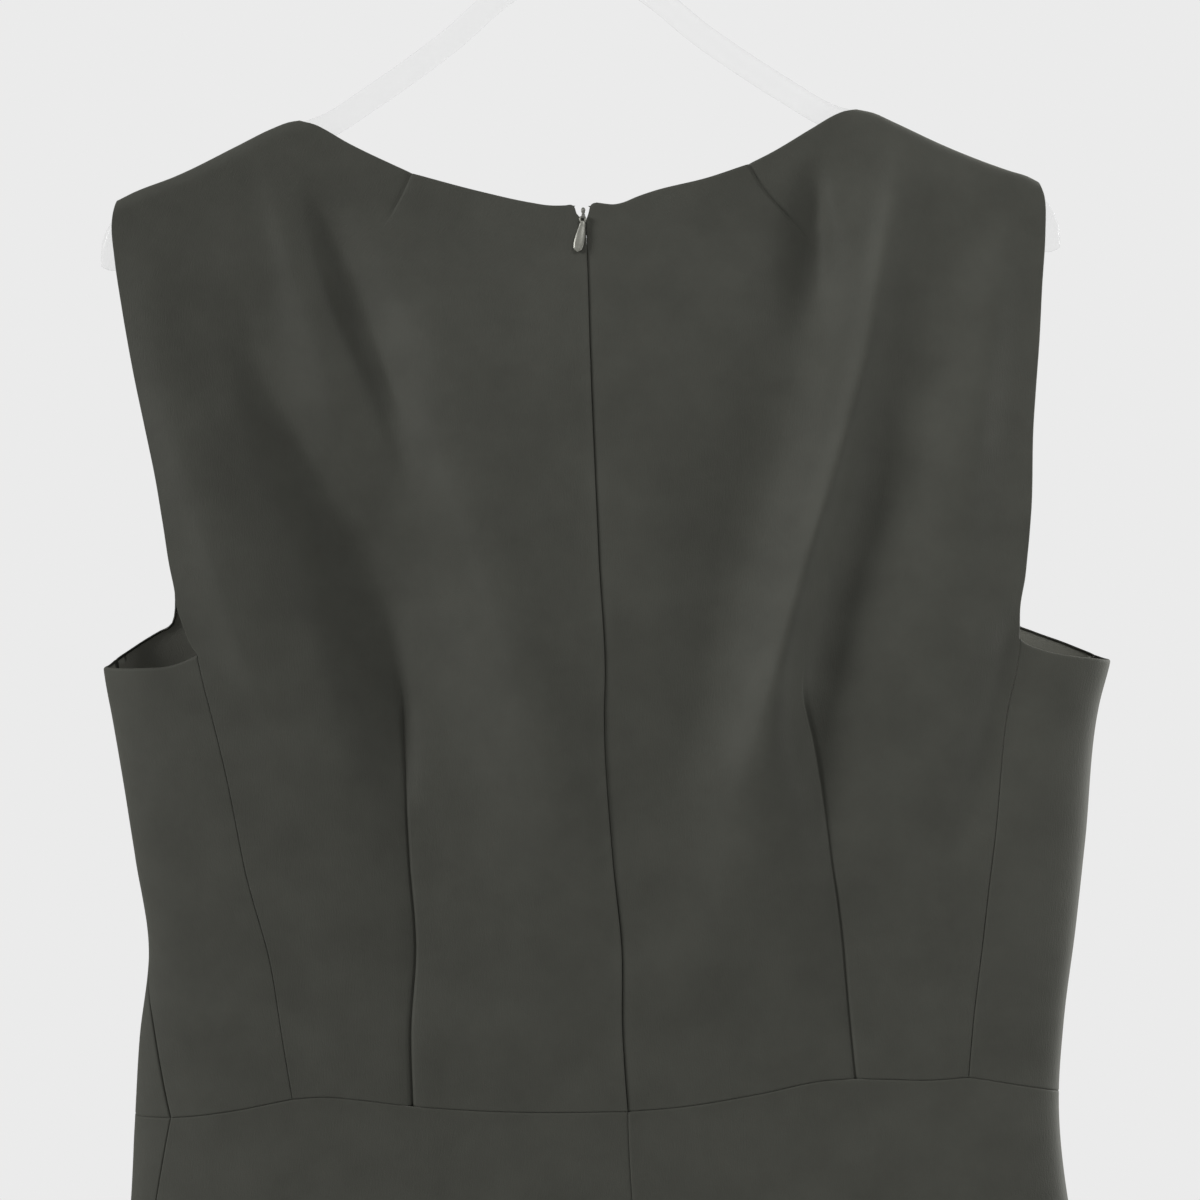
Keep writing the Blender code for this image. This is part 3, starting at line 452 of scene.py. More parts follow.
def folded(x, drop, folds):
    """How far the folds lift the cloth at each point."""
    lift = np.zeros_like(x)
    for knots in folds.values():
        places, drops, rises, lefts, rights = np.array(knots, float).T
        place, rise, left, right = (hermite(drops, values, drop) for values in (places, rises, lefts, rights))
        inside = (drop > drops[0]) & (drop < drops[-1] + 1)
        away = (x - place) / np.where(x < place, left, right)
        lift += np.where(inside, rise * np.exp(-(away**2)), 0)
    return lift


def surface(turn, drop, inward=0.0):
    """Points on the outer face of the cloth, or inward of it."""
    left, right = ring_size("left", drop), ring_size("right", drop)
    angle = np.radians(turn)
    x = (left + right) / 2 + (right - left) / 2 * np.sin(angle)
    back = np.cos(angle) > 0
    across = np.abs(np.cos(angle)) ** SIDE_BLUNTNESS
    depth = np.where(back, ring_size("back", drop), ring_size("front", drop)) * across
    below = np.maximum(drop - shoulder_drop(x), 0)
    over = np.sqrt(1 - (1 - np.minimum(below / SHOULDER_RADIUS, 1)) ** 2)
    spread = ease(below / SHOULDER_SPREAD)
    folds = np.where(back, folded(x, drop, BACK_FOLDS), folded(x, drop, FRONT_FOLDS))
    out = (1 - spread) * SHOULDER_RADIUS * over + spread * depth
    out += folds * across * ease(below / FOLDS_BELOW_SHOULDER) - inward
    return np.stack([x, np.where(back, -out, out), -(drop + HOOK_TO_NECK)], -1)


def inward_normals(turn, drop):
    """Directions into the dress, square to the cloth."""
    right = surface(turn + NORMAL_STEP, drop) - surface(turn - NORMAL_STEP, drop)
    down = surface(turn, drop + NORMAL_STEP) - surface(turn, drop - NORMAL_STEP)
    return unit(np.cross(right, down))


def on_back(marks):
    """(x, drop) on the back as (turn, drop)."""
    x, drop = np.moveaxis(np.array(marks, float), -1, 0)
    left, right = ring_size("left", drop), ring_size("right", drop)
    sine = (x - (left + right) / 2) / ((right - left) / 2)
    return np.stack([np.degrees(np.arcsin(sine)), drop], -1)


def back_points(x, drop, inward=0.0):
    """Points on the back's outer face, or inward of it."""
    turned = on_back(np.stack(np.broadcast_arrays(x, drop), -1))
    return surface(turned[..., 0], turned[..., 1], inward)


def on_front(marks):
    """(x, drop) on the front as (turn, drop)."""
    turned = on_back(marks)
    return np.stack([180 - turned[:, 0], turned[:, 1]], -1)


def past_left(marks):
    """(turn, drop) near the left side, counted on from the front."""
    return np.array(marks, float) + (360, 0)


# An edge of a panel: at(t) gives (turn, drop) for t from 0 to 1, and corners are the places of its sharp corners
Edge = namedtuple("Edge", "at length corners")


def edge(*stretches):
    """Smooth stretches of (turn, drop) marks, joined end to end with a corner at each joint."""
    stretches = [np.array(marks, float) for marks in stretches]
    lengths = []
    for marks in stretches:
        steps = np.hypot(np.diff(marks[:, 0]) * ARC_PER_TURN, np.diff(marks[:, 1]))
        lengths.append(np.concatenate([[0], np.cumsum(steps)]))
    total = sum(length[-1] for length in lengths)
    ends = np.cumsum([length[-1] for length in lengths]) / total

    def at(t):
        t = np.asarray(t, float)
        found, start = np.zeros((*t.shape, 2)), 0.0
        for marks, length, end in zip(stretches, lengths, ends):
            here = (t >= start) if start else np.ones(t.shape, bool)
            along = (t - start) * total
            points = np.stack([hermite(length, marks[:, k], along) for k in (0, 1)], -1)
            found = np.where(here[..., None], points, found)
            start = end
        return found

    return Edge(at, total, tuple(ends[:-1]))


def back_edge(*stretches):
    """An edge along stretches of (x, drop) marks on the back."""
    return edge(*map(on_back, stretches))


def lines(length, step, corners=(), start=EDGE_LINES, end=EDGE_LINES):
    """Places from 0 to 1 along lengths in mm: close ones at both ends, even ones between, and one on each corner."""
    length = np.atleast_1d(np.asarray(length, float))[:, None]
    first, last = np.array(start) / length, 1 - np.array(end[::-1]) / length
    stops = [first[:, -1:], *[np.full_like(length, corner) for corner in corners], last[:, :1]]
    inner = []
    for low, high in zip(stops, stops[1:]):
        count = max(1, round(float((high - low).max() * length.max()) / step))
        inner.append(low + (high - low) * np.arange(count) / count)
    return np.concatenate([first[:, :-1], *inner, last], axis=1)


def patch(top, bottom, left, right, u, v):
    """(turn, drop) at places u across and v down between four edges."""
    across, down = u[..., None], v[..., None]
    ruled = (1 - down) * top.at(u) + down * bottom.at(u) + (1 - across) * left.at(v) + across * right.at(v)
    corners = (1 - down) * ((1 - across) * top.at(0) + across * top.at(1))
    corners = corners + down * ((1 - across) * bottom.at(0) + across * bottom.at(1))
    return ruled - corners


def rolled(distance, radius=ROLL):
    """How far the cloth rolls in at a distance from its edge."""
    return radius - np.sqrt(np.maximum(radius**2 - np.maximum(radius - distance, 0) ** 2, 0))


def distance_to(points, line):
    """How far each point is from a line through points."""
    best = np.full(points.shape[:-1], np.inf)
    for start, along in zip(line, np.diff(line, axis=0)):
        t = np.clip(((points - start) @ along) / max(along @ along, 1e-9), 0, 1)
        best = np.minimum(best, np.linalg.norm(points - start - t[..., None] * along, axis=-1))
    return best


def panel(name, parts, rows, step, sinks=(), rolls=Rolls(), gap=SEAM_GAP):
    """One cut piece of the dress, from parts that lie side by side, each (top, bottom, left, right) edges.

    rows are the places of its lines down. sinks are functions of (drop, distance right of the line between its two
    parts, distance from its left edge, distance from its right edge) that give how far the cloth sinks in there.
    gap is the gap it leaves at a seam, and a gap below zero tucks its edges behind the next pieces.
    """
    marks, beside = [], []
    for number, (top, bottom, left, right) in enumerate(parts):
        widths = np.linalg.norm(surface(*right.at(rows).T) - surface(*left.at(rows).T), axis=-1)
        widths = np.maximum(widths, LEAST_WIDTH)
        u = lines(widths, step, corners=top.corners or bottom.corners)
        v = np.broadcast_to(rows[:, None], u.shape)
        first = 1 if number else 0
        marks.append(patch(top, bottom, left, right, u, v)[:, first:])
        beside.append(((u - 1 + first) * widths[:, None])[:, first:])
    marks, beside = np.concatenate(marks, 1), np.concatenate(beside, 1)
    turn, drop = marks[..., 0], marks[..., 1]
    points = surface(turn, drop)
    away = {}
    for side, cells, line in (
        ("top", np.s_[:ROLL_LINES], points[0]),
        ("bottom", np.s_[-BOTTOM_ROLL_LINES:], points[-1]),
        ("left", np.s_[:, :ROLL_LINES], points[:, 0]),
        ("right", np.s_[:, -ROLL_LINES:], points[:, -1]),
    ):
        away[side] = np.full(points.shape[:2], ROLL_REACH)
        away[side][cells] = np.minimum(distance_to(points[cells], line), ROLL_REACH)
    sunk = np.max([rolled(away[side], getattr(rolls, side)) for side in Rolls._fields], axis=0)
    for sink in sinks:
        sunk = sunk + sink(drop, beside, away["left"], away["right"])
    points = points + inward_normals(turn, drop) * sunk[..., None]
    for edge_line, inner_line in ((0, PULL_LINE), (-1, -1 - PULL_LINE)):
        for grid in (points, points.swapaxes(0, 1)):
            grid[edge_line] += unit(grid[inner_line] - grid[edge_line]) * gap / 2
    return cloth_piece(name, points)


def grid_through(points):
    """A bmesh grid through rows of points in mm, and the row and column of each of its vertices."""
    rows, columns = points.shape[:2]
    body = bmesh.new()
    bmesh.ops.create_grid(body, x_segments=columns - 1, y_segments=rows - 1, size=1.0)
    flat = np.array([vert.co for vert in body.verts])
    column = np.rint((flat[:, 0] + 1) / 2 * (columns - 1)).astype(int)
    row = np.rint((1 - flat[:, 1]) / 2 * (rows - 1)).astype(int)
    for vert, point in zip(body.verts, points[row, column] * MM):
        vert.co = point
    return body, (row, column)


def cloth_piece(name, points):
    """A sheet of cloth through a grid of points in mm, top row first, with its own UV map in metres of cloth."""
    body, cells = grid_through(points)
    made = built(name, body)
    across = np.cumsum(np.linalg.norm(np.diff(points, axis=1, prepend=points[:, :1]), axis=-1), axis=1)
    down = np.cumsum(np.linalg.norm(np.diff(points, axis=0, prepend=points[:1]), axis=-1), axis=0)
    laid = np.stack([across - across[:, points.shape[1] // 2, None], -down], -1)[cells] * MM
    corner = np.zeros(len(made.data.loops), int)
    made.data.loops.foreach_get("vertex_index", corner)
    made.data.uv_layers.new(name="cloth").data.foreach_set("uv", laid[corner].ravel())
    wall = made.modifiers.new("cloth wall", "SOLIDIFY")
    wall.thickness = CLOTH * MM
    wall.offset = -1.0
    wall.use_rim = True
    # The inner face takes the next material, whose pale colour is painted light.
    wall.material_offset = 1
    return made


def dart_sinker(neck, waist, lap):
    """How deep a neck dart and a waist dart on one line pull the cloth in, and how far the neck dart's cloth laps."""

    def sink(drop, beside, from_left, from_right):
        at_neck = neck.depth * ease((neck.tip - drop) / NECK_DART_FADE)
        at_waist = waist.depth * ease((drop - waist.tip) / WAIST_DART_FADE)
        line = np.exp(-((beside / DART_CREASE) ** 2)) + DIMPLE_SHARE * np.exp(-((beside / DART_DIMPLE) ** 2))
        lapped = np.where(beside > 0, 1, 0) * np.exp(-np.abs(beside) / DART_LAP)
        return line * np.maximum(at_neck, at_waist) + lapped * lap * at_neck

    return sink


def lip_left_of_zip(drop, beside, from_left, from_right):
    """The left half's edge stands proud where it covers the zip."""
    return -ZIP_LIP * np.exp(-((from_right / ZIP_LIP_REACH) ** 2))


def lip_right_of_zip(drop, beside, from_left, from_right):
    """The right half's edge lies back under it."""
    return ZIP_LIP * np.exp(-((from_left / ZIP_LIP_REACH) ** 2))


def back_panels():
    spacing = BACK_SPACING
    left, middle = back_edge(ARMHOLE_BACK_LEFT, SIDE_BACK_LEFT), back_edge(DARTS_LEFT)
    right = back_edge(ZIP_NOTCH_LEFT, CENTRE_LEFT)
    left_half = panel(
        "back_left_cloth",
        [
            (back_edge(SHOULDER_LEFT, NECK_BACK_LEFT), back_edge(WAIST_LEFT), left, middle),
            (back_edge(NECK_MIDDLE_LEFT), back_edge(WAIST_MIDDLE_LEFT), middle, right),
        ],
        lines(left.length, spacing.down, corners=left.corners, start=SHOULDER_LINES)[0],
        spacing.across,
        sinks=(dart_sinker(Dart(tip=52, depth=0.45), Dart(tip=250, depth=1.5), lap=0.2), lip_left_of_zip),
        rolls=Rolls(left=FAINT_ROLL, right=FAINT_ROLL),
    )
    left, middle = back_edge(ZIP_NOTCH_RIGHT, CENTRE_RIGHT), back_edge(DARTS_RIGHT)
    right = back_edge(ARMHOLE_BACK_RIGHT, SIDE_BACK_RIGHT)
    right_half = panel(
        "back_right_cloth",
        [
            (back_edge(NECK_MIDDLE_RIGHT), back_edge(WAIST_MIDDLE_RIGHT), left, middle),
            (back_edge(NECK_BACK_RIGHT, SHOULDER_RIGHT), back_edge(WAIST_RIGHT), middle, right),
        ],
        lines(right.length, spacing.down, corners=right.corners, start=SHOULDER_LINES)[0],
        spacing.across,
        sinks=(dart_sinker(Dart(tip=60, depth=0.9), Dart(tip=246, depth=1.2), lap=0.55), lip_right_of_zip),
        rolls=Rolls(left=FAINT_ROLL, right=SEAM_ROLL),
    )
    return [left_half, right_half]


def waist_side_left():
    """The waist seam of the left side panel."""
    return np.concatenate([WAIST_SIDE_LEFT, on_back(SIDE_BACK_LEFT[-1:])])


def waist_side_right():
    """The waist seam of the right side panel."""
    return np.concatenate([on_back(SIDE_BACK_RIGHT[-1:]), WAIST_SIDE_RIGHT])


def side_panels():
    left, right = edge(SIDE_SEAM_LEFT), back_edge(SIDE_BACK_LEFT)
    rows = lines(left.length, SIDE_SPACING.down)[0]
    top = edge(np.concatenate([UNDERARM_LEFT, on_back(SIDE_BACK_LEFT[:1])]))
    left_panel = panel(
        "side_back_left_cloth",
        [(top, edge(waist_side_left()), left, right)],
        rows,
        SIDE_SPACING.across,
        rolls=Rolls(left=ROLL, right=FAINT_ROLL),
    )
    left, right = back_edge(SIDE_BACK_RIGHT), edge(SIDE_SEAM_RIGHT)
    top = edge(np.concatenate([on_back(SIDE_BACK_RIGHT[:1]), UNDERARM_RIGHT]))
    right_panel = panel(
        "side_back_right_cloth",
        [(top, edge(waist_side_right()), left, right)],
        rows,
        SIDE_SPACING.across,
        rolls=Rolls(right=ROLL),
    )
    return [left_panel, right_panel]


def front_waist():
    """The waist seam round the front, from side seam to side seam."""
    return [SIDE_SEAM_RIGHT[-1], *WAIST_FRONT, past_left(SIDE_SEAM_LEFT[-1:])[0]]


def front_panel():
    left = edge(np.concatenate([on_front(ARMHOLE_FRONT_RIGHT), SIDE_SEAM_RIGHT[:1]]), SIDE_SEAM_RIGHT)
    right = edge(
        np.concatenate([on_front(ARMHOLE_FRONT_LEFT), past_left(SIDE_SEAM_LEFT[:1])]), past_left(SIDE_SEAM_LEFT)
    )
    top = edge(on_front(SHOULDER_RIGHT[::-1]), on_front(NECK_FRONT), on_front(SHOULDER_LEFT[::-1]))
    return [
        panel(
            "front_bodice_cloth",
            [(top, edge(front_waist()), left, right)],
            lines(left.length, FRONT_SPACING.down, corners=left.corners, start=SHOULDER_LINES)[0],
            FRONT_SPACING.across,
            rolls=Rolls(left=ROLL, right=ROLL),
            gap=-3 * SEAM_GAP,
        )
    ]


def skirt_panels():
    centre = back_edge(CENTRE_SKIRT)
    side_left, side_right = edge(SIDE_SEAM_SKIRT_LEFT), edge(SIDE_SEAM_SKIRT_RIGHT)
    around = Edge(lambda t: side_left.at(t) + (360, 0), side_left.length, ())
    waist_left = edge(waist_side_left(), on_back(WAIST_LEFT), on_back(WAIST_MIDDLE_LEFT))
    waist_right = edge(on_back(WAIST_MIDDLE_RIGHT), on_back(WAIST_RIGHT), waist_side_right())
    low = [line.at(1)[0] for line in (side_left, centre, side_right, around)]
    hem_left, hem_right, hem_front = (edge([(start, HEM_DROP), (end, HEM_DROP)]) for start, end in zip(low, low[1:]))
    rows = lines(centre.length, SKIRT_BACK_SPACING.down)[0]
    return [
        panel(name, [parts], rows, spacing.across, rolls=SKIRT_ROLLS, gap=-SEAM_GAP)
        for name, spacing, *parts in (
            ("skirt_back_left_cloth", SKIRT_BACK_SPACING, waist_left, hem_left, side_left, centre),
            ("skirt_back_right_cloth", SKIRT_BACK_SPACING, waist_right, hem_right, centre, side_right),
            ("skirt_front_cloth", SKIRT_FRONT_SPACING, edge(front_waist()), hem_front, side_right, around),
        )
    ]


def mapped(name, points):
    """A closed piece through a grid of points in mm. Each row is a ring, and the end rows close it."""
    body, _ = grid_through(points)
    bmesh.ops.remove_doubles(body, verts=body.verts, dist=WELD * MM)
    bmesh.ops.recalc_face_normals(body, faces=body.faces)
    return built(name, body)


def joined(name, pieces):
    """Several pieces as one."""
    body = bmesh.new()
    for piece in pieces:
        body.from_mesh(piece.data)
        bpy.data.meshes.remove(piece.data)
    return built(name, body)


def tube_points(path, across, out, half_across, half_out, sides, round_ends=True):
    """Rings round a path: across and out are the directions of their two half widths, at each point or everywhere."""
    across, out = (np.broadcast_to(way, path.shape) for way in (across, out))
    angle = np.linspace(0, 2 * np.pi, sides + 1)
    sizes = np.ones(len(path))
    if round_ends:
        length = lengths_along(path)
        to_end = np.minimum(length, length[-1] - length)
        reach = min(half_across, half_out)
        sizes = np.sqrt(1 - (1 - np.minimum(to_end / reach, 1)) ** 2)
    half_across, half_out = (np.broadcast_to(half, len(path)) for half in (half_across, half_out))
    ring = across[:, None] * (half_across * sizes)[:, None, None] * np.cos(angle)[None, :, None]
    ring = ring + out[:, None] * (half_out * sizes)[:, None, None] * np.sin(angle)[None, :, None]
    return path[:, None] + ring


def smooth_path(marks, step):
    """Points along a smooth line through marks: even ones, and closer ones near both ends."""
    marks = np.array(marks, float)
    length = lengths_along(marks)
    end = CLOSE_ENDS * (1 - np.cos(np.linspace(0, np.pi / 2, CLOSE_POINTS)))
    middle = np.linspace(CLOSE_ENDS, length[-1] - CLOSE_ENDS, max(2, int(length[-1] / step)))
    at = np.concatenate([end[:-1], middle, (length[-1] - end[:-1])[::-1]])
    return np.stack([hermite(length, marks[:, k], at) for k in range(marks.shape[1])], -1)


def bar(name, marks, half_across, half_thickness, sides):
    """A round-ended bar along (x, drop) marks in the plane of the hanger."""
    flat = smooth_path(marks, BAR_STEP)
    path = np.stack([flat[:, 0], np.zeros(len(flat)), -(flat[:, 1] + HOOK_TO_NECK)], -1)
    across = np.cross(unit(np.gradient(path, axis=0)), Y_AXIS)
    return mapped(name, tube_points(path, across, Y_AXIS, half_across, half_thickness, sides))


def hanger():
    seat = CLOTH + ARM_CLEARANCE + ARM_HALF_HEIGHT
    under = [(x, float(shoulder_drop(np.array((-x, x))).max()) + seat) for x in ARM_SEATS]
    arms = [*ARM_TIP[::-1], *under, *ARM_INSIDE_NECK]
    arms += [(-x, drop) for x, drop in arms[-2::-1]]
    radius = HOOK_INNER + HOOK_WIRE
    arc = np.radians(np.linspace(*HOOK_ARC, HOOK_ARC_POINTS))
    middle = HOOK_INNER - HOOK_TO_NECK
    hook = [*HOOK_STEM, *((radius * math.cos(a), middle - radius * math.sin(a)) for a in arc)]
    return [
        bar("hanger_arms_clear", arms, ARM_HALF_HEIGHT, ARM_HALF_THICKNESS, ARM_SIDES),
        bar("hanger_hook_clear", hook, HOOK_WIRE, HOOK_WIRE, HOOK_SIDES),
    ]


def zip_place(lean=0.0):
    """The frame of the zip's metal in mm: its origin is the tab's hinge, and Z runs up along the cloth."""
    seat, lower = back_points(PULL_X, np.array((PULL_DROP, PULL_DROP + PULL_LENGTH)))
    tilt = math.atan2(seat[1] - lower[1], seat[2] - lower[2])
    turn = Matrix.Rotation(-tilt, 4, "X") @ Matrix.Rotation(math.radians(lean), 4, "Y")
    return np.array(Matrix.Translation(Vector(seat) + Vector((0, -PULL_PROUD, 0))) @ turn)


def placed(points, place):
    """Points moved by a frame's matrix."""
    return points @ place[:3, :3].T + place[:3, 3]


def pebble(name, marks, place, shift=0.0):
    """A smooth closed piece down the zip. Each mark gives its half sizes there and how far behind it lies."""
    down = [mark.down for mark in marks]
    at = down[0] + (down[-1] - down[0]) * (1 - np.cos(np.linspace(0, np.pi, PEBBLE_RINGS))) / 2
    width, thick, behind = (
        np.maximum(hermite(down, [getattr(mark, column) for mark in marks], at), least)
        for column, least in (("half_width", PEBBLE_LEAST), ("half_thickness", PEBBLE_LEAST), ("behind", 0))
    )
    width[[0, -1]] = thick[[0, -1]] = 0.0
    path = np.stack([np.full(PEBBLE_RINGS, shift), behind, -at], -1)
    rings = tube_points(path, X_AXIS, Y_AXIS, width, thick, PEBBLE_SIDES, round_ends=False)
    return mapped(name, placed(rings, place))


def wire(name, path, radius, place, closed=False, half_width=None):
    """A round wire, or a strap with a half width of its own, along points in mm in the zip's frame."""
    along = np.gradient(path, axis=0)
    if closed:
        along[[0, -1]] = path[1] - path[-2]
    flat = X_AXIS if np.ptp(path[:, 0]) < WELD else Y_AXIS
    rings = tube_points(path, np.cross(unit(along), flat), flat, radius, half_width or radius, WIRE_SIDES, not closed)
    return mapped(name, placed(rings, place))


def zip_metal_pieces():
    """The drop-shaped tab on its eye, and the slider whose nose stands in the notch and holds the tab on a bridge."""
    turn = np.linspace(0, 2 * np.pi, EYE_POINTS)
    ring = np.stack([EYE_ACROSS * np.sin(turn), 0 * turn, EYE_DOWN * (np.cos(turn) - 1)], -1)
    leaning, upright = zip_place(PULL_LEAN), zip_place()
    eye = wire("eye", ring, EYE_WIRE, leaning, closed=True)
    tab = joined("zip_pull_tab", [pebble("drop", TAB_MARKS, leaning, TAB_SHIFT), eye])
    arc = np.radians(np.linspace(*BRIDGE_ARC, BRIDGE_POINTS))
    loop = [(0.0, BRIDGE_REACH * math.cos(a), BRIDGE_REACH * math.sin(a)) for a in arc]
    path = np.array([BRIDGE_FEET[0], *loop, BRIDGE_FEET[1]])
    bridge = wire("bridge", path, BRIDGE_WIRE, upright, half_width=BRIDGE_HALF_WIDTH)
    slider = joined("zip_slider_body", [pebble("body", SLIDER_MARKS, upright), bridge])
    return tab, slider


def seam_at(drops):
    """The centre back seam's x at each drop."""
    seam = np.array(CENTRE_RIGHT[1:] + CENTRE_SKIRT[1:], float)
    return hermite(seam[:, 1], seam[:, 0], drops)


def zip_tapes():
    """Two woven tapes behind the centre back seam."""
    drops = np.linspace(TAPE_START, TAPE_END, TAPE_ROWS)[:, None]
    pieces = []
    for side in (-1, 1):
        x = seam_at(drops) + side * np.array(TAPE_LINES)
        outer, inner = (back_points(x, drops, inward) for inward in (TAPE_INSIDE, TAPE_INSIDE + TAPE))
        ring = np.concatenate([outer, inner[:, ::-1], outer[:, :1]], axis=1)
        caps = ring.mean(axis=1, keepdims=True) + 0 * ring
        pieces.append(mapped("tape", np.concatenate([caps[:1], ring, caps[-1:]])))
    return joined("zip_tape_woven", pieces)


def zip_coil():
    """The coil on the inside of each tape: a wire wound in flat loops that meet over the seam."""
    loops = int((TAPE_END - TAPE_START - 2 * COIL_MARGIN) / TOOTH_PITCH)
    turn = np.linspace(0, loops * 2 * np.pi, loops * LOOP_POINTS + 1)
    drops = TAPE_START + COIL_MARGIN + turn / (2 * np.pi) * TOOTH_PITCH
    pieces = []
    for side in (-1, 1):
        wound = turn + (np.pi if side < 0 else 0)
        x = seam_at(drops) + side * (COIL_OFFSET + COIL_ACROSS * np.cos(wound))
        inward = TAPE_INSIDE + TAPE + COIL_DEEP + 2 * TOOTH_WIRE + COIL_DEEP * np.sin(wound)
        path = back_points(x, drops, inward)
        along = unit(np.gradient(path, axis=0))
        across = unit(np.cross(along, Z_AXIS))
        rings = tube_points(path, across, np.cross(along, across), TOOTH_WIRE, TOOTH_WIRE, COIL_SIDES)
        pieces.append(mapped("coil", rings))
    return joined("zip_coil_wound", pieces)


def set_inputs(node, **values):
    """A shader node with values for its inputs, whose names have _ for each space here."""
    for name, value in values.items():
        node.inputs[name.replace("_", " ")].default_value = value
    return node


def ramp(nodes, dark, pale, start=0.0, end=1.0):
    """A colour ramp between two colours."""
    made = nodes.new("ShaderNodeValToRGB")
    for element, position, colour in zip(made.color_ramp.elements, (start, end), (dark, pale)):
        element.position, element.color = position, (*colour, 1)
    return made


def new_material(name, **values):
    """A material with values for its shader's inputs. Returns it, its nodes, what links them, and its shader."""
    made = bpy.data.materials.new(name)
    made.use_nodes = True
    nodes = made.node_tree.nodes
    return made, nodes, made.node_tree.links.new, set_inputs(nodes["Principled BSDF"], **values)


def grain_group():
    """A fine uneven grain of crossing threads on UV in metres: its height, and a broad unevenness of the cloth's
    colour.
    """
    group = bpy.data.node_groups.new("cloth grain", "ShaderNodeTree")
    for name, way in (("Threads", "INPUT"), ("Height", "OUTPUT"), ("Dye", "OUTPUT")):
        group.interface.new_socket(name, in_out=way, socket_type="NodeSocketFloat")
    nodes, link = group.nodes, group.links.new
    given, result = nodes.new("NodeGroupInput"), nodes.new("NodeGroupOutput")
    place = nodes.new("ShaderNodeTexCoord")
    pebbles = set_inputs(nodes.new("ShaderNodeTexNoise"), Detail=2.0)
    link(place.outputs["UV"], pebbles.inputs["Vector"])
    link(given.outputs["Threads"], pebbles.inputs["Scale"])
    slubs = set_inputs(nodes.new("ShaderNodeMapping"), Scale=(1.0, 0.16, 1.0))
    link(place.outputs["UV"], slubs.inputs["Vector"])
    drawn = set_inputs(nodes.new("ShaderNodeTexNoise"), Detail=1.0)
    link(slubs.outputs["Vector"], drawn.inputs["Vector"])
    link(given.outputs["Threads"], drawn.inputs["Scale"])
    both = nodes.new("ShaderNodeMath")
    both.operation = "ADD"
    link(pebbles.outputs["Fac"], both.inputs[0])
    link(drawn.outputs["Fac"], both.inputs[1])
    link(both.outputs["Value"], result.inputs["Height"])
    cloud = set_inputs(nodes.new("ShaderNodeTexNoise"), Scale=34.0, Detail=5.0, Roughness=0.62)
    link(place.outputs["Object"], cloud.inputs["Vector"])
    link(cloud.outputs["Fac"], result.inputs["Dye"])
    return group


def cloth_material(name, group, weave):
    """Cloth whose colour runs between two given colours, with the grain's bump. On the crepe's inner face these
    colours are painted light.
    """
    made, nodes, link, shader = new_material(
        name,
        Roughness=weave.roughness,
        Specular_IOR_Level=0.25,
        Sheen_Weight=weave.sheen,
        Sheen_Roughness=0.5,
        Sheen_Tint=(0.95, 0.95, 0.85, 1),
    )
    grain = nodes.new("ShaderNodeGroup")
    grain.node_tree = group
    set_inputs(grain, Threads=weave.threads)
    # The colour between the two: painted light where this is the crepe's inner face, the cloth's own colour
    # elsewhere.
    dye_and_painted_light = ramp(nodes, weave.dark, weave.pale, start=0.32, end=0.68)
    link(grain.outputs["Dye"], dye_and_painted_light.inputs["Fac"])
    link(dye_and_painted_light.outputs["Color"], shader.inputs["Base Color"])
    bump = set_inputs(nodes.new("ShaderNodeBump"), Strength=0.5, Distance=THREAD_HEIGHT)
    link(grain.outputs["Height"], bump.inputs["Height"])
    link(bump.outputs["Normal"], shader.inputs["Normal"])
    return made


def zip_metal(name, dark, pale):
    """Warm grey satin paint on cast metal, a little worn."""
    made, nodes, link, shader = new_material(name, Metallic=0.35, Specular_IOR_Level=0.6)
    place = nodes.new("ShaderNodeTexCoord")
    wear = set_inputs(nodes.new("ShaderNodeTexNoise"), Scale=900.0)
    link(place.outputs["Object"], wear.inputs["Vector"])
    paint = ramp(nodes, dark, pale)
    link(wear.outputs["Fac"], paint.inputs["Fac"])
    link(paint.outputs["Color"], shader.inputs["Base Color"])
    shine = set_inputs(nodes.new("ShaderNodeMapRange"), To_Min=0.3, To_Max=0.42)
    link(wear.outputs["Fac"], shine.inputs["Value"])
    link(shine.outputs["Result"], shader.inputs["Roughness"])
    return made


def clear_plastic():
    """Clear moulded plastic: see-through where it faces the eye, and greyer and shinier along its rims."""
    made, nodes, link, shader = new_material("clear plastic", Base_Color=(0.8, 0.81, 0.81, 1), Roughness=0.12)
    made.surface_render_method = "BLENDED"
    place = nodes.new("ShaderNodeTexCoord")
    haze = set_inputs(nodes.new("ShaderNodeTexNoise"), Scale=60.0)
    link(place.outputs["Object"], haze.inputs["Vector"])
    rim = set_inputs(nodes.new("ShaderNodeLayerWeight"), Blend=0.3)
    seen = ramp(nodes, (0.05, 0.05, 0.05), (0.5, 0.5, 0.5), start=0.35)
    link(rim.outputs["Facing"], seen.inputs["Fac"])
    cloudy = set_inputs(nodes.new("ShaderNodeMapRange"), To_Min=0.0, To_Max=0.06)
    link(haze.outputs["Fac"], cloudy.inputs["Value"])
    total = nodes.new("ShaderNodeMath")
    total.operation = "ADD"
    link(seen.outputs["Color"], total.inputs[0])
    link(cloudy.outputs["Result"], total.inputs[1])
    link(total.outputs["Value"], shader.inputs["Alpha"])
    return made


def light(name, comes_from, spread, strength):
    """Even light from a direction, spread over an angle in degrees as from a window or a pale wall."""
    data = bpy.data.lights.new(name, "SUN")
    data.angle, data.energy = math.radians(spread), strength
    linked(name, data).matrix_world = Vector(comes_from).to_track_quat("Z", "Y").to_matrix().to_4x4()


def softbox(name, place, aim, size, watts):
    """A square lamp that the camera doesn't see, so that what is near it is lit the most."""
    data = bpy.data.lights.new(name, "AREA")
    data.size, data.energy = size, watts
    made = linked(name, data)
    turned = (Vector(place) - Vector(aim)).to_track_quat("Z", "Y").to_matrix().to_4x4()
    made.matrix_world = Matrix.Translation(place) @ turned
    made.visible_camera = False


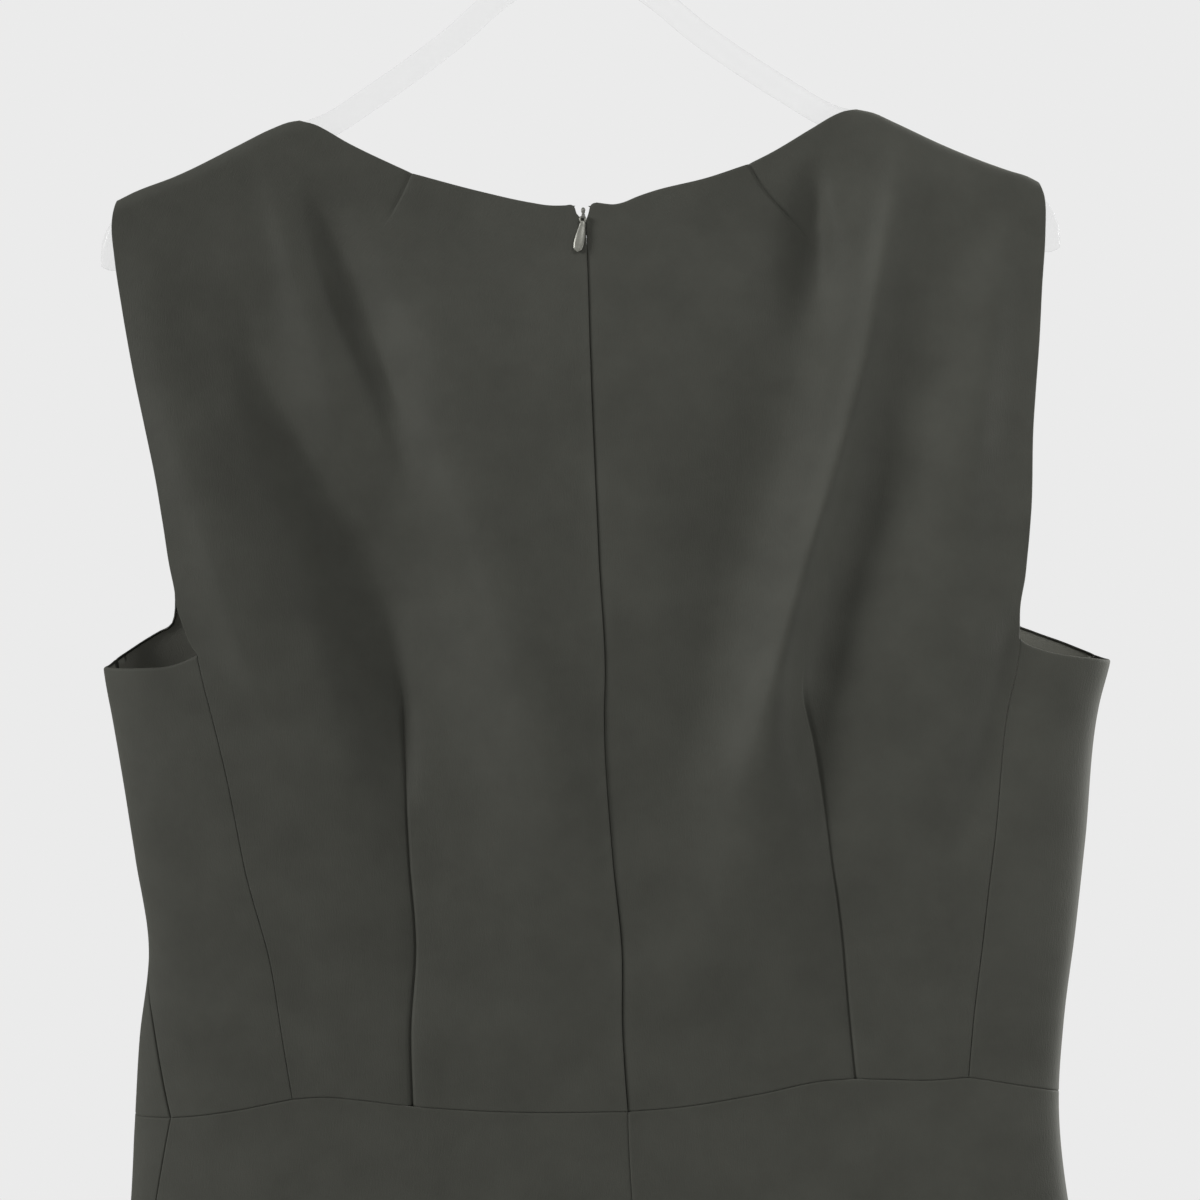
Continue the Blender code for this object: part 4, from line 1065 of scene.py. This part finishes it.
def surround():
    """A grey glow all round, that the camera sees as the photograph's pale ground."""
    world = bpy.data.worlds.new("surround")
    bpy.context.scene.world = world
    world.use_nodes = True
    nodes, link = world.node_tree.nodes, world.node_tree.links.new
    glow = set_inputs(nodes["Background"], Color=(0.80, 0.80, 0.80, 1), Strength=0.16)
    seen = set_inputs(nodes.new("ShaderNodeBackground"), Color=(0.831, 0.831, 0.831, 1))
    path, mix = nodes.new("ShaderNodeLightPath"), nodes.new("ShaderNodeMixShader")
    link(path.outputs["Is Camera Ray"], mix.inputs["Fac"])
    link(glow.outputs["Background"], mix.inputs[1])
    link(seen.outputs["Background"], mix.inputs[2])
    link(mix.outputs["Shader"], nodes["World Output"].inputs["Surface"])


def studio():
    """A pale floor under the hem, a pale surround, light from the left and a rim of it from behind on the right."""
    bpy.context.scene.view_settings.view_transform = "Standard"
    surround()
    body = bmesh.new()
    level = Matrix.Translation((0, 0, FLOOR_LEVEL))
    bmesh.ops.create_circle(body, cap_ends=True, radius=FLOOR_RADIUS, segments=FLOOR_SIDES, matrix=level)
    floor = built("floor", body, smooth=False)
    floor.data.materials.append(new_material("pale floor", Base_Color=(0.8, 0.8, 0.79, 1), Roughness=0.7)[0])
    light("window", comes_from=(-0.88, -0.38, 0.4), spread=20, strength=2.4)
    light("room", comes_from=(0.1, -0.9, 0.3), spread=50, strength=0.1)
    light("far wall", comes_from=(0.88, 0.42, 0.2), spread=40, strength=3.6)
    softbox("lamp above the shoulders", place=(0.35, -0.65, 0.42), aim=(0, 0, -0.3), size=0.5, watts=3.1)
    softbox("lamp by the right side", place=(0.7, -0.3, -0.45), aim=(0.15, 0, -0.4), size=0.4, watts=1.5)


# A sheet of cloth's flat cut: width and length in metres, area in square metres, and what it hangs from. Only the
# type is made here, and no sheet is given one.
Cut = namedtuple("Cut", "width length area hangs_from")


def finished(piece, material, node=None, body="dress"):
    """Give a piece its material, hang it on the empty of the body it rides with, and hide the solid it stands for."""
    piece.data.materials.append(material)
    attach(piece, body)
    if node:
        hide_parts(node)


def dress():
    """The dress, its zip and its hanger."""
    grain = grain_group()
    crepe = cloth_material("charcoal crepe", grain, CREPE)
    # The crepe's inner face: its pale colour is painted light, standing in for light inside the armholes.
    reverse_painted_light = cloth_material("crepe reverse", grain, CREPE_REVERSE_PAINTED_LIGHT)
    tape = cloth_material("zip tape", grain, TAPE_WEAVE)
    painted = zip_metal("painted tab", dark=(0.22, 0.22, 0.192), pale=(0.3, 0.3, 0.262))
    worn = zip_metal("worn slider", dark=(0.13, 0.13, 0.115), pale=(0.2, 0.2, 0.18))
    plastic = clear_plastic()
    for piece in back_panels() + side_panels() + front_panel() + skirt_panels():
        node = piece.name.removesuffix("_cloth")
        finished(piece, crepe, node)
        # Its inner face takes the material with painted light.
        piece.data.materials.append(reverse_painted_light)
    tab, slider = zip_metal_pieces()
    finished(tab, painted, "zip_pull", body="pull_tab")
    finished(slider, worn, "zip_slider")
    finished(zip_tapes(), tape, "zip_tape")
    finished(zip_coil(), tape)
    arms, hook = hanger()
    finished(arms, plastic, "hanger_arms")
    finished(hook, plastic, "hanger_hook")


camera()
dress()
studio()
